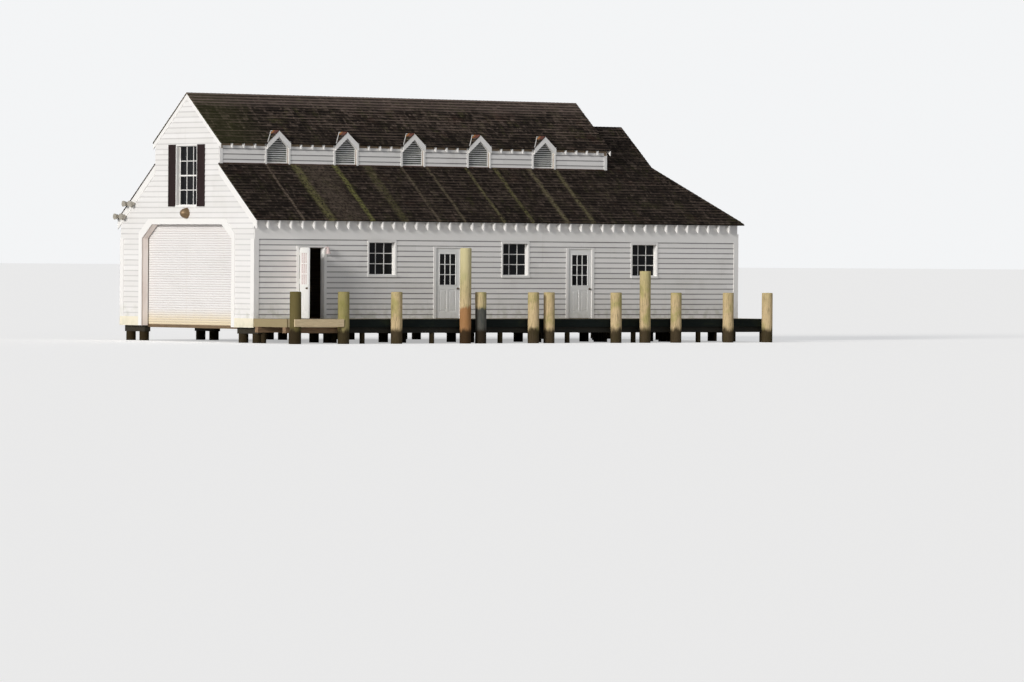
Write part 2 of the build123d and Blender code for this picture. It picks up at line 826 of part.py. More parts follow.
with BuildPart() as deck_piles:
    with BuildSketch(level(0)):
        with Locations(*[(place, pile_y) for place in pile_places]):
            Circle(deck_pile_radius)
    extrude(amount=deck_pile_top)
    for share, top in zip(tall_pile_shares, tall_pile_tops):
        with BuildSketch(level(0)):
            with Locations((gable_x + share * length, pile_y)):
                Circle(deck_pile_radius)
        extrude(amount=top)
    add(deck_waler.part, mode=Mode.SUBTRACT)
save(deck_piles, "deck_piles")

# Slip entrance: casing and lining, curtain in its guides, bottom bar, and the drum inside the wall
with BuildPart() as shutter_frame:
    with BuildSketch(cross_section(gable_x)):
        Polygon(*entrance_outline(entrance_casing, skirt_bottom), align=None)
        Polygon(*entrance_outline(0, skirt_bottom), align=None, mode=Mode.SUBTRACT)
    extrude(amount=-board)
    with BuildSketch(cross_section(gable_x)):
        Polygon(*entrance_outline(entrance_lining, skirt_bottom), align=None)
        Polygon(*entrance_outline(0, skirt_bottom), align=None, mode=Mode.SUBTRACT)
    extrude(amount=entrance_reveal)
save(shutter_frame, "shutter_frame")

curtain_x = gable_x + entrance_reveal + curtain_gap
guide_x = gable_x + entrance_reveal
guide_inner = entrance_width / 2
slot_depth = curtain_edge + guide_slot_clearance

with BuildPart() as shutter_guides:
    with BuildSketch(level(skirt_bottom)):
        for side in (-1, 1):
            edge = middle_y + side * guide_inner
            back = edge + side * guide_width
            rectangle(guide_x, guide_x + guide_depth, min(edge, back), max(edge, back))
            groove = edge + side * slot_depth
            rectangle(curtain_x - guide_slot_clearance, curtain_x + curtain_thickness + guide_slot_clearance,
                      min(edge, groove), max(edge, groove), Mode.SUBTRACT)
    extrude(amount=entrance_top - skirt_bottom)
save(shutter_guides, "shutter_guides")

with BuildPart() as shutter_curtain:
    with BuildSketch(cross_section(curtain_x)):
        rectangle(middle_y - guide_inner - curtain_edge, middle_y + guide_inner + curtain_edge,
                  curtain_bottom, drum_level)
    extrude(amount=curtain_thickness)
save(shutter_curtain, "shutter_curtain")

with BuildPart() as shutter_bottom_bar:
    with BuildSketch(cross_section(curtain_x + curtain_thickness / 2 - bottom_bar_thickness / 2)):
        rectangle(middle_y - guide_inner + door_gap, middle_y + guide_inner - door_gap,
                  curtain_bottom - bottom_bar_height, curtain_bottom)
    extrude(amount=bottom_bar_thickness)
save(shutter_bottom_bar, "shutter_bottom_bar")

drum_x = curtain_x + curtain_thickness + seat_gap + drum_radius

with BuildPart() as shutter_drum:
    drum_reach = guide_inner + curtain_edge
    bracket_half = drum_radius / 2
    with BuildSketch(long_section(middle_y - drum_reach)):
        with Locations((drum_x, drum_level)):
            Circle(drum_radius)
    extrude(amount=-2 * drum_reach)
    with BuildSketch(long_section(middle_y - drum_reach)):
        rectangle(wall_start_x, drum_x + bracket_half, drum_level - bracket_half, drum_level + bracket_half)
    extrude(amount=board)
    with BuildSketch(long_section(middle_y + drum_reach)):
        rectangle(wall_start_x, drum_x + bracket_half, drum_level - bracket_half, drum_level + bracket_half)
    extrude(amount=-board)
save(shutter_drum, "shutter_drum")

# Windows: casing, lining, sash and sill as one frame in each opening, and a pane of glass
front_plane = long_section(wall_y)
back_plane = Plane(origin=(0, back_y, 0), x_dir=(-1, 0, 0), z_dir=(0, 1, 0))
end_plane = cross_section(end_x)
gable_plane = Plane(origin=(gable_x, 0, 0), x_dir=(0, -1, 0), z_dir=(-1, 0, 0))
window_middle = window_head - window_opening / 2
gable_window_middle = gable_window_sill + gable_window_height / 2
small_window = (window_opening / 2, window_opening / 2, window_casing)
gable_window = (gable_window_width / 2, gable_window_height / 2, gable_window_casing)

# Each window's wall plane, middle across and up that plane, half its width and height, and its casing
windows = [(front_plane, bay_x(number), window_middle, *small_window) for number in window_bay_numbers]
windows += [(back_plane, -bay_x(number), window_middle, *small_window) for number in window_bay_numbers]
windows += [(end_plane, middle_y + side * end_window_offset, window_middle, *small_window)
            for side in (-1, 1)]
windows.append((gable_plane, -middle_y, gable_window_middle, *gable_window))

with BuildPart() as window_frames:
    for plane, across, up, half_width, half_height, casing in windows:
        with BuildSketch(plane):
            with Locations((across, up)):
                Rectangle(2 * (half_width + casing), 2 * (half_height + casing))
                Rectangle(2 * (half_width - window_lining), 2 * (half_height - window_lining),
                          mode=Mode.SUBTRACT)
        extrude(amount=board)
        with BuildSketch(plane):
            with Locations((across, up - half_height - sill_height)):
                Rectangle(2 * (half_width + casing), sill_height, align=(Align.CENTER, Align.MIN))
        extrude(amount=sill_reach)
        with BuildSketch(plane.offset(-window_glass_depth)):
            with Locations((across, up)):
                Rectangle(2 * half_width, 2 * half_height)
                Rectangle(2 * (half_width - sash_width), 2 * (half_height - sash_width), mode=Mode.SUBTRACT)
        extrude(amount=-sash_depth)
        with BuildSketch(plane):
            with Locations((across, up)):
                Rectangle(2 * half_width, 2 * half_height)
                Rectangle(2 * (half_width - window_lining), 2 * (half_height - window_lining),
                          mode=Mode.SUBTRACT)
        extrude(amount=-window_glass_depth)
save(window_frames, "window_frames")

with BuildPart() as window_glass:
    pane_depth = window_glass_depth + (sash_depth - glass_thickness) / 2
    for plane, across, up, half_width, half_height, _ in windows:
        with BuildSketch(plane.offset(-pane_depth)):
            with Locations((across, up)):
                Rectangle(2 * (half_width - sash_width), 2 * (half_height - sash_width))
        extrude(amount=-glass_thickness)
save(window_glass, "window_glass")

# Louvred blinds fixed open beside the gable window
blind_offset = gable_window_width / 2 + gable_window_casing + blind_width / 2
blind_height = gable_window_height + 2 * blind_overlap

with BuildPart() as gable_blinds:
    with BuildSketch(gable_plane):
        with Locations(*[(-middle_y + side * blind_offset, gable_window_middle) for side in (-1, 1)]):
            Rectangle(blind_width, blind_height)
    extrude(amount=blind_thickness)
    panel_height = (blind_height - 3 * blind_rail) / 2
    panel_offset = (panel_height + blind_rail) / 2
    with BuildSketch(gable_plane.offset(blind_thickness)):
        with Locations(*[(-middle_y + side * blind_offset, gable_window_middle + row * panel_offset)
                         for side in (-1, 1) for row in (-1, 1)]):
            Rectangle(blind_width - 2 * blind_rail, panel_height)
    extrude(amount=-blind_recess, mode=Mode.SUBTRACT)
save(gable_blinds, "gable_blinds")

# Door frames: casing, jambs, stops and the fixed collars of the hinges
leaf_width = door_opening - 2 * door_jamb - 2 * door_gap
leaf_height = door_opening_height - door_jamb - door_gap - door_foot_gap
leaf_foot = floor_level + door_foot_gap
hinge_side = door_half - door_jamb - door_gap / 2
stop_depth = door_thickness + door_gap
casing_reach = door_half + door_casing - door_jamb
casing_top = door_head + door_head_casing - door_jamb


def hinge_line(middle):
    """Where a door's hinge pins stand, in plan."""
    return middle - hinge_side, wall_y - hinge_offset


with BuildPart() as door_frames:
    for middle in door_middles:
        with BuildSketch(front_plane):
            with Locations((middle, 0)):
                rectangle(-casing_reach, casing_reach, floor_level, casing_top)
                rectangle(-door_half + door_jamb / 2, door_half - door_jamb / 2,
                          floor_level, door_head - door_jamb / 2, Mode.SUBTRACT)
        extrude(amount=board)
        with BuildSketch(front_plane):
            with Locations((middle, 0)):
                rectangle(-door_half, door_half, floor_level, door_head)
                rectangle(-door_half + door_jamb, door_half - door_jamb, floor_level, door_head - door_jamb,
                          Mode.SUBTRACT)
        extrude(amount=-wall_thickness)
        with BuildSketch(front_plane.offset(-stop_depth)):
            with Locations((middle, 0)):
                rectangle(-door_half + door_jamb, door_half - door_jamb, floor_level, door_head - door_jamb)
                rectangle(-door_half + door_jamb + door_stop, door_half - door_jamb - door_stop, floor_level,
                          door_head - door_jamb - door_stop, Mode.SUBTRACT)
        extrude(amount=-door_stop)
        pin_x, pin_y = hinge_line(middle)
        for rise in hinge_levels:
            for foot in (rise - hinge_collar_gap - hinge_collar, rise + hinge_height + hinge_collar_gap):
                with BuildSketch(level(leaf_foot + foot)):
                    with Locations((pin_x, pin_y)):
                        Circle(hinge_radius)
                    rectangle(middle - door_half, pin_x, pin_y - hinge_radius, pin_y)
                extrude(amount=hinge_collar)
save(door_frames, "door_frames")


def swing_plane(middle, angle, height):
    """Horizontal plane at a door's hinge line, turned with the door as it opens outwards."""
    pin_x, pin_y = hinge_line(middle)
    return Plane(origin=(pin_x, pin_y, height), x_dir=(cos(radians(angle)), -sin(radians(angle)), 0),
                 z_dir=(0, 0, 1))


leaf_start = door_gap / 2
knob_turns = [radians(knob_first_turn + step * (90 - knob_first_turn) / knob_steps)
              for step in range(knob_steps)]

# A turned knob from its axis outwards: rose, neck and ball
knob_profile = [(0, 0), (knob_rose_radius, 0), (knob_rose_radius, knob_rose), (knob_neck_radius, knob_rose)]
knob_profile += [(knob_radius * cos(turn), knob_reach - knob_radius + knob_radius * sin(turn))
                 for turn in knob_turns]
knob_profile.append((0, knob_reach))
leaf_middle = leaf_start + leaf_width / 2
glass_top = leaf_height - door_top_rail
glass_middle = glass_top - door_glass_height / 2

for order, (middle, angle) in enumerate(zip(door_middles, door_rest_angles), start=1):
    floor_plane = swing_plane(middle, angle, leaf_foot)
    face_plane = Plane(origin=floor_plane.from_local_coords(Vector(0, hinge_offset, 0)), x_dir=floor_plane.x_dir,
                       z_dir=-floor_plane.y_dir)

    with BuildPart() as door:
        with BuildSketch(face_plane):
            rectangle(leaf_start, leaf_start + leaf_width, 0, leaf_height)
            with Locations((leaf_middle, glass_middle)):
                Rectangle(door_glass_width, door_glass_height, mode=Mode.SUBTRACT)
        extrude(amount=-door_thickness)
        with BuildSketch(face_plane):
            with Locations((leaf_middle, door_bottom_rail + door_panel_height / 2)):
                Rectangle(door_glass_width, door_panel_height)
        extrude(amount=-door_panel_recess, mode=Mode.SUBTRACT)
        for rise in hinge_levels:
            with BuildSketch(floor_plane.offset(rise)):
                Circle(hinge_radius)
                rectangle(0, hinge_plate, hinge_offset - hinge_plate_thickness, hinge_offset)
                rectangle(0, hinge_radius, 0, hinge_offset)
            extrude(amount=hinge_height)
    save(door, "door_" + str(order))

    with BuildPart() as door_glass:
        with BuildSketch(face_plane.offset(-(door_thickness - door_glass_thickness) / 2)):
            with Locations((leaf_middle, glass_middle)):
                Rectangle(door_glass_width, door_glass_height)
        extrude(amount=-door_glass_thickness)
    save(door_glass, "door_" + str(order) + "_glass")

    with BuildPart() as door_knobs:
        knob_across = leaf_start + leaf_width - knob_inset
        for side, depth in ((-1, 0), (1, door_thickness)):
            foot = Vector(knob_across, hinge_offset + depth, knob_level - door_foot_gap)
            base = floor_plane.from_local_coords(foot)
            turning_plane = Plane(origin=base, x_dir=floor_plane.x_dir, z_dir=(0, 0, side))
            with BuildSketch(turning_plane):
                Polygon(*knob_profile, align=None)
            revolve(axis=Axis(base, turning_plane.y_dir))
    save(door_knobs, "door_" + str(order) + "_knobs")

# Lamps: a dome on the gable, two twin floods on the far rake, and a cone beside the first door
with BuildPart() as dome_lamp:
    turns = [radians(90 * step / dome_steps) for step in range(dome_steps + 1)]
    with BuildSketch(level(dome_level)):
        Polygon((gable_x, middle_y), *[(gable_x - dome_reach * sin(turn), middle_y + dome_radius * cos(turn))
                                       for turn in turns], align=None)
    revolve(axis=Axis((gable_x, middle_y, dome_level), (1, 0, 0)))
save(dome_lamp, "dome_lamp")

with BuildPart() as flood_lamps:
    for inset in flood_insets:
        across = width - inset
        up = lower_under(inset) - flood_drop
        with BuildSketch(gable_plane.offset(board)):
            with Locations((-wall_y - across, up)):
                Circle(flood_plate_radius)
        extrude(amount=flood_plate)
        with BuildSketch(long_section(wall_y + across - flood_spread)):
            with Locations((gable_x - board - flood_plate, up)):
                Circle(flood_stem_radius)
        extrude(amount=-2 * flood_spread)
        for side in (-1, 1):
            head = Location((-wall_y - across + side * flood_spread, up + flood_rise))
            with BuildSketch(gable_plane.offset(board + flood_plate)):
                with Locations(head):
                    Circle(flood_neck_radius)
            with BuildSketch(gable_plane.offset(board + flood_reach)):
                with Locations(head):
                    Circle(flood_radius)
            loft()
save(flood_lamps, "flood_lamps")

with BuildPart() as door_lamp:
    lamp_x = door_middles[0] + door_lamp_offset
    lamp_y = wall_y - board - door_lamp_reach
    with BuildSketch(level(door_lamp_top - door_lamp_height)):
        with Locations((lamp_x, lamp_y)):
            Circle(door_lamp_radius)
    with BuildSketch(level(door_lamp_top)):
        with Locations((lamp_x, lamp_y)):
            Circle(door_lamp_neck_radius)
    loft()
    with BuildSketch(long_section(wall_y - board)):
        with Locations((lamp_x, door_lamp_top - door_lamp_neck_radius)):
            Circle(door_lamp_neck_radius)
    extrude(amount=door_lamp_reach)
save(door_lamp, "door_lamp")
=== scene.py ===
import math
import random

import bpy
import numpy as np
from mathutils import Matrix, Vector


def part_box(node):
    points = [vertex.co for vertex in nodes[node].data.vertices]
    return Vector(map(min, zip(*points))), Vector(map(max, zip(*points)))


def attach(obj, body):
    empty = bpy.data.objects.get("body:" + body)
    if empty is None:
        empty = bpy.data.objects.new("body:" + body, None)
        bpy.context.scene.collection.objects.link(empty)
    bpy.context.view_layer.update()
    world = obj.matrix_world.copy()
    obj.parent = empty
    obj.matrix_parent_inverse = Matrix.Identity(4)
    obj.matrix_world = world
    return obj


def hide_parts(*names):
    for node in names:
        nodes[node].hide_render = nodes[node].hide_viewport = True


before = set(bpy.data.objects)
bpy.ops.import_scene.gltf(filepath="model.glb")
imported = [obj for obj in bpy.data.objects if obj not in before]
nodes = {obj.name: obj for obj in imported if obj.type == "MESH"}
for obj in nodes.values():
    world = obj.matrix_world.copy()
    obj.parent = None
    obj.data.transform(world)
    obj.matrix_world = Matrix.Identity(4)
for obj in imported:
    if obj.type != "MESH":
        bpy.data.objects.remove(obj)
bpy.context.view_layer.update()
print("boathouse: frame loaded,", len(nodes), "nodes")

# Wall planes, taken from the sill timbers and the walls that stand on them
gableX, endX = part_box("sill_timbers")[0].x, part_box("sill_timbers")[1].x
frontY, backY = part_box("sill_timbers")[0].y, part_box("sill_timbers")[1].y
middleY = (frontY + backY) / 2
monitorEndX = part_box("monitor_end_wall")[1].x

plan = {
    "bay": 2.4384, "firstBay": 2.075, "floor": 0.70, "frieze": 2.96,
    "pitch": math.radians(40.2), "slab": 0.025, "eave": 3.52, "eaveReach": 0.15, "rakeReach": 0.035,
    "tail": 0.258, "highTail": 0.150, "monitorInset": 1.74, "monitorEave": 5.726, "monitorReach": 0.10,
    "monitorEndReach": 0.08, "gabletInset": 1.86, "cornerBoard": 0.15, "monitorCorner": 0.11,
    "dormerHalf": 0.415, "dormerShift": -0.030, "dormerOut": 0.070, "dormers": 5,
}
half = (backY - frontY) / 2
rise = math.tan(plan["pitch"])
along = math.cos(plan["pitch"])
upward = math.sin(plan["pitch"])
slabDrop = plan["slab"] / along
gabletX = endX - plan["gabletInset"]
monitorFront, monitorBack = frontY + plan["monitorInset"], backY - plan["monitorInset"]
monitorSides = ((1, monitorFront), (-1, monitorBack))  # the way inwards, and the plane of each long side


def bayX(number):
    return gableX + plan["firstBay"] + number * plan["bay"]


def dormerX(number):
    return bayX(number) + plan["dormerShift"]


def lowerTop(inset):  # level of the lower roof's top face, measured inwards from the wall
    return plan["eave"] + (inset + plan["eaveReach"]) * rise


def upperTop(inset):
    return plan["monitorEave"] + (inset - plan["monitorInset"] + plan["monitorReach"]) * rise


# Camera at the photograph's place, and plain soft light
view = {
    "place": (gableX - 100.137, frontY - 139.727, 2.349), "yaw": 38.067, "pitch": -0.746, "roll": 0.381,
    "lens": 213.2, "sensor": 36.0, "far": 6000.0,
}
yaw, pitch, roll = (math.radians(view[key]) for key in ("yaw", "pitch", "roll"))
ahead = Vector((math.sin(yaw) * math.cos(pitch), math.cos(yaw) * math.cos(pitch), math.sin(pitch)))
right = ahead.cross(Vector((0, 0, 1))).normalized()
above = right.cross(ahead)
tiltedRight = right * math.cos(roll) + above * math.sin(roll)
tiltedUp = tiltedRight.cross(ahead)
camera = bpy.data.objects.new("camera", bpy.data.cameras.new("camera"))
bpy.context.scene.collection.objects.link(camera)
turn = Matrix((tiltedRight, tiltedUp, -ahead)).transposed()
camera.matrix_world = Matrix.Translation(view["place"]) @ turn.to_4x4()
camera.data.lens = view["lens"]
camera.data.sensor_width = view["sensor"]
camera.data.clip_end = view["far"]
bpy.context.scene.camera = camera
bpy.context.scene.view_settings.view_transform = "Standard"

light = {
    "keyTo": (-0.930, -0.265, 0.255), "keyStrength": 2.55, "keyColor": (1.0, 0.975, 0.94), "keyAngle": 14.0,
    "horizon": (0.40, 0.41, 0.43), "zenith": (0.28, 0.29, 0.31), "climb": 0.60,
    "backdrop": (0.90, 0.91, 0.92),
    "floorColor": (0.80, 0.79, 0.77), "floorGlow": 0.42, "floorSize": 2500.0,
}
key = bpy.data.objects.new("key_light", bpy.data.lights.new("key_light", "SUN"))
bpy.context.scene.collection.objects.link(key)
key.data.energy = light["keyStrength"]
key.data.color = light["keyColor"]
key.data.angle = math.radians(light["keyAngle"])
key.rotation_euler = Vector(light["keyTo"]).to_track_quat("Z", "Y").to_euler()


# A wire wraps a socket, and sums on wires add their own nodes
class Wire:
    def __init__(self, tree, socket):
        self.tree = tree
        self.socket = socket

    def __add__(self, other):
        return self.tree.maths("ADD", self, other)

    def __radd__(self, other):
        return self.tree.maths("ADD", other, self)

    def __sub__(self, other):
        return self.tree.maths("SUBTRACT", self, other)

    def __rsub__(self, other):
        return self.tree.maths("SUBTRACT", other, self)

    def __mul__(self, other):
        return self.tree.maths("MULTIPLY", self, other)

    def __truediv__(self, other):
        return self.tree.maths("DIVIDE", self, other)


class Tree:
    def __init__(self, owner):
        owner.use_nodes = True
        self.tree = owner.node_tree

    def feed(self, socket, value):  # a wire, a colour or a constant
        if isinstance(value, Wire):
            self.tree.links.new(value.socket, socket)
        elif socket.type == "RGBA":
            socket.default_value = (*value, 1)
        else:
            socket.default_value = value

    def node(self, kind, settings, values, output=0):
        made = self.tree.nodes.new("ShaderNode" + kind)
        for key, value in settings.items():
            setattr(made, key, value)
        for key, value in values.items():
            self.feed(made.inputs[key], value)
        return Wire(self, made.outputs[output]) if made.outputs else None

    def maths(self, operation, *values):
        return self.node("Math", {"operation": operation}, dict(enumerate(values)))

    def ray(self, kind):
        return self.node("LightPath", {}, {}, "Is %s Ray" % kind)

    def blend(self, factor, first, second):
        return self.node("Mix", {"data_type": "RGBA"}, {0: factor, 6: first, 7: second}, 2)

    def grade(self, value, low, high):  # 0 at low, 1 at high, held outside
        return self.node("MapRange", {"interpolation_type": "SMOOTHSTEP"},
                         {"Value": value, "From Min": low, "From Max": high})

    def within(self, value, low, high, edge):  # 1 between low and high, with soft ends
        return self.grade(value, low, low + edge) * (1 - self.grade(value, high, high + edge))


class Finish(Tree):
    def __init__(self, name):
        self.material = bpy.data.materials.new(name)
        super().__init__(self.material)
        self.shader = self.tree.nodes["Principled BSDF"]
        self.color = None
        self.place = self.node("TexCoord", {}, {}, "Object")
        self.x, self.y, self.z = (self.node("SeparateXYZ", {}, {0: self.place}, axis) for axis in "XYZ")

    def tone(self):  # one random number for each board or shingle
        return self.node("Attribute", {"attribute_name": "tone"}, {}, "Fac")

    def noise(self, scale, detail=3.0, stretch=(1, 1, 1), rough=0.55, shift=0.0):
        spot = self.node("Mapping", {}, {
            "Vector": self.place, "Scale": stretch, "Location": (shift, shift, shift),
        })
        return self.node("TexNoise", {}, {
            "Vector": spot, "Scale": scale, "Detail": detail, "Roughness": rough,
        })

    def cells(self, scale):
        return self.node("TexVoronoi", {}, {"Vector": self.place, "Scale": scale}, "Distance")

    def lay(self, mask, tint):  # one more coat over the colour so far
        self.color = self.blend(mask, self.color, tint)

    def done(self, roughness, relief, depth=0.002, **extra):
        bump = self.node("Bump", {}, {"Height": relief * depth, "Strength": 1.0, "Distance": 1.0})
        for key, value in {"Base Color": self.color, "Roughness": roughness, "Normal": bump, **extra}.items():
            self.feed(self.shader.inputs[key.replace("_", " ")], value)
        return self.material


# Finishes
paint = {
    "siding": (0.86, 0.84, 0.82), "shade": (0.74, 0.725, 0.70), "grime": (0.52, 0.49, 0.42),
    "algae": (0.36, 0.38, 0.24), "trim": (0.86, 0.845, 0.82), "cream": (0.84, 0.78, 0.62),
    # line: dirt in the board laps together with painted shadow under each board edge
    "line": (0.17, 0.16, 0.16), "gable": (0.83, 0.815, 0.80),
}
courseLook = {"pitch": 0.1524, "start": plan["frieze"] - 20 * 0.1524}


# Painted wood, grimed near the floor, with faint runs, and where asked a dark band under each board's lower
# edge that is partly dirt in the laps and partly painted shadow
def paintedBoards(name, base, foot, wear=1.0, lines=0.0):
    made = Finish(name)
    board = made.tone()
    broad = made.noise(0.9, 4.0)
    runs = made.noise(7.0, 3.0, (1, 1, 0.06))
    fine = made.noise(60.0, 3.0, (1, 1, 4))
    made.color = made.blend(made.grade(board, 0.0, 1.0) * 0.55, base, paint["shade"])
    made.lay(made.grade(broad, 0.52, 0.72) * 0.16 * wear, paint["grime"])
    made.lay(made.grade(runs, 0.60, 0.78) * 0.20 * wear, paint["grime"])
    low = 1 - made.grade(made.z, foot, foot + 0.55)
    made.lay(low * made.grade(made.noise(5.0, 4.0), 0.40, 0.65) * 0.38 * wear, paint["algae"])
    if lines:  # darker right under each board's lower edge: partly dirt in the laps, partly painted shadow
        step = made.maths("FRACT", (made.z - courseLook["start"]) / courseLook["pitch"])
        made.lay(made.grade(step, 0.70, 0.90) * (0.60 + broad * 0.5) * lines, paint["line"])
    gloss = 0.46 + made.grade(broad, 0.4, 0.7) * 0.16
    return made.done(gloss, fine, 0.0006)


def entrancePaint():  # white casing, and a worn pinkish reveal behind it
    made = Finish("entrance_paint")
    stain = made.noise(2.6, 4.0, (1, 1, 0.4))
    reveal = made.blend(made.grade(stain, 0.4, 0.7), (0.88, 0.80, 0.75), (0.76, 0.66, 0.60))
    edge = 1 - made.grade(made.x, gableX + 0.012, gableX + 0.035)
    reveal = made.blend(edge * 0.8, reveal, (0.30, 0.20, 0.15))
    made.color = made.blend(made.grade(made.x, gableX - 0.004, gableX + 0.002), paint["trim"], reveal)
    return made.done(0.5, stain, 0.0006)


def depthBehind(made, face):  # how far a point lies behind a long side's face, for both sides alike
    middle = made.maths("ABSOLUTE", made.y - middleY)
    return (half - face) - middle


def louvrePaintAndShade():  # white frames, pale slat fronts painted as lit edges, and slats behind darkened as painted shade over their grey-green paint
    made = Finish("louvre_paint_and_painted_shade")
    deep = depthBehind(made, plan["monitorInset"] + 0.030)
    stain = made.noise(6.0, 3.0)
    slats = made.blend(made.grade(stain, 0.4, 0.7), (0.38, 0.39, 0.36), (0.24, 0.25, 0.21))
    made.color = made.blend(made.grade(deep, 0.001, 0.003), paint["trim"], (0.84, 0.84, 0.82))
    # deeper in, the slats take painted shade as well as their own grey-green
    made.lay(made.grade(deep, 0.007, 0.016), slats)
    return made.done(0.6, stain, 0.0008)


def capMetal():  # dark red rust, orange where the caps meet the roof
    made = Finish("rusty_caps")
    patches = made.noise(5.0, 4.0)
    made.color = made.blend(made.grade(patches, 0.4, 0.7), (0.15, 0.053, 0.036), (0.09, 0.034, 0.026))
    rear = made.grade(depthBehind(made, plan["monitorInset"] - plan["dormerOut"]), 0.17, 0.25)
    made.lay(rear * 0.85, (0.36, 0.16, 0.042))
    return made.done(0.75, patches, 0.002, Specular_IOR_Level=0.2)


def interiorAware(name):  # wall slabs: painted outside, bare boards within
    made = Finish(name)
    grain = made.noise(9.0, 4.0, (0.12, 0.12, 6))
    inner = made.blend(made.grade(grain, 0.35, 0.7), (0.30, 0.22, 0.14), (0.20, 0.14, 0.085))
    insideX = made.within(made.x, gableX + 0.02, endX - 0.03, 0.01)
    insideY = made.within(made.y, frontY + 0.02, backY - 0.03, 0.01)
    made.color = made.blend(insideX * insideY, paint["siding"], inner)
    return made.done(0.6, grain, 0.0008)


roofLook = {
    "dark": (0.011, 0.0085, 0.0072), "mid": (0.036, 0.0270, 0.0215), "pale": (0.235, 0.178, 0.145),
    "moss": (0.060, 0.062, 0.022), "bright": (0.24, 0.235, 0.085), "red": (0.100, 0.050, 0.036),
    "ridge": (0.26, 0.20, 0.17), "gapShade": (0.004, 0.0035, 0.003), "bleached": (0.165, 0.125, 0.095),
    "highFrom": 5.55, "paleFrom": 6.70,
}
shingleCourse = 0.127
# Where rain runs down from the dormers and the ridge: x from the gable, half width, strength, greenness
runMarks = (
    (1.62, 0.045, 0.90, 0.1), (2.62, 0.15, 0.80, 0.8), (3.35, 0.50, 0.42, 0.1), (4.06, 0.085, 1.0, 1.0),
    (5.22, 0.15, 0.42, 0.7), (6.48, 0.055, 0.70, 0.2), (7.43, 0.05, 0.75, 0.3), (8.86, 0.06, 0.80, 0.6),
    (9.93, 0.07, 0.75, 0.8), (11.22, 0.09, 0.85, 0.45), (12.22, 0.08, 0.80, 0.55),
)


def shingleFinish():
    made = Finish("weathered_shingles")
    board = made.tone()
    grain = made.noise(30.0, 4.0, (6, 1.2, 1.2))
    patches = made.noise(1.3, 5.0, rough=0.65)
    streaks = made.noise(5.5, 4.0, (1.5, 0.22, 0.22), 0.7, 3.0)
    soot = made.noise(3.0, 4.0, (1.3, 0.30, 0.30), 0.65, 11.0)
    growth = made.noise(3.4, 5.0, (1, 0.5, 0.5), 0.7, 7.0)
    specks = made.cells(26.0)
    made.color = made.blend(made.grade(board, 0.10, 0.95), roofLook["dark"], roofLook["mid"])
    made.lay(made.grade(board, 0.82, 1.0) * 0.50, roofLook["pale"])
    made.lay(made.grade(grain, 0.56, 0.75) * 0.30, roofLook["pale"])
    made.lay(made.grade(patches, 0.54, 0.72) * 0.45, roofLook["red"])
    mossMask = made.grade(growth, 0.50, 0.66)
    made.lay(mossMask * 0.60, roofLook["moss"])
    made.lay(mossMask * (1 - made.grade(specks, 0.15, 0.4)) * 0.30, roofLook["bright"])
    made.lay(made.grade(streaks, 0.54, 0.72) * 0.62, roofLook["pale"])
    made.lay(made.grade(soot, 0.48, 0.66) * 0.75, roofLook["dark"])
    flecks = made.noise(8.5, 3.0, (1, 0.8, 0.8), 0.7, 17.0)
    made.lay(made.grade(flecks, 0.55, 0.68) * 0.62, roofLook["pale"])
    made.lay((1 - made.grade(flecks, 0.34, 0.46)) * 0.80, roofLook["gapShade"])
    bleached = made.grade(made.noise(0.8, 4.0, (1, 0.7, 0.7), 0.6, 23.0), 0.47, 0.62)
    bleached = bleached * made.grade(grain + flecks - 0.5, 0.40, 0.66)
    made.lay(bleached * 0.50, roofLook["bleached"])
    high = made.grade(made.z, roofLook["highFrom"], roofLook["highFrom"] + 0.1)
    eaveLevel = plan["eave"] + high * (plan["monitorEave"] - plan["eave"])
    course = made.maths("FRACT", (made.z - eaveLevel) / (shingleCourse * upward))
    lip = 1 - made.grade(course, 0.14, 0.44)
    lipWear = made.grade(made.noise(2.0, 4.0, (0.35, 2.2, 2.2), 0.6, 5.0), 0.42, 0.66)
    made.lay(lip * (0.16 + lipWear * (0.55 + high * 0.2)), roofLook["pale"])
    made.lay(made.grade(course, 0.50, 0.85) * 0.80, roofLook["gapShade"])
    made.lay((1 - high) * 0.34, roofLook["dark"])
    dampFrom = plan["monitorEave"] + 0.05
    damp = 1 - made.grade(made.z + (growth - 0.5) * 0.5, dampFrom, dampFrom + 0.45)
    made.lay(high * damp * 0.40, roofLook["dark"])
    nearGable = 1 - made.grade(made.x + (growth - 0.5) * 2.0, gableX + 0.4, gableX + 2.2)
    made.lay(high * nearGable * 0.38, roofLook["moss"])
    worn = made.grade(made.z + (patches - 0.5) * 0.4, roofLook["paleFrom"], roofLook["paleFrom"] + 0.22)
    made.lay(worn * (0.15 + lip * 0.7), roofLook["ridge"])
    wander = (made.noise(0.8, 2.0) - 0.5) * 0.16
    for place, spread, strength, green in runMarks:
        offset = made.maths("ABSOLUTE", made.x + wander - (gableX + place))
        mask = (1 - made.grade(offset, spread * 0.3, spread * 1.6)) * strength * (1 - high)
        mask = mask * made.grade(made.noise(14.0, 3.0), 0.30, 0.62)
        tint = tuple(green * b + (1 - green) * p for b, p in zip(roofLook["bright"], roofLook["pale"]))
        made.lay(mask * 0.75, tint)
    return made.done(0.9, grain + growth * 0.6, 0.004, Specular_IOR_Level=0.03)


def plainWood(name, base, dark, grainScale=(1, 8, 8), wet=None):
    made = Finish(name)
    board = made.tone()
    grain = made.noise(10.0, 5.0, grainScale, 0.65)
    stain = made.noise(2.2, 4.0)
    made.color = made.blend(made.grade(grain, 0.35, 0.68), base, dark)
    made.lay(made.grade(board, 0.0, 1.0) * 0.45, dark)
    made.lay(made.grade(stain, 0.52, 0.75) * 0.35, dark)
    if wet:
        damp = 1 - made.grade(made.z + (made.noise(6.0, 3.0) - 0.5) * 0.12, wet[0], wet[1])
        made.lay(damp * 0.9, (0.018, 0.016, 0.012))
    return made.done(0.8, grain, 0.0025, Specular_IOR_Level=0.2)


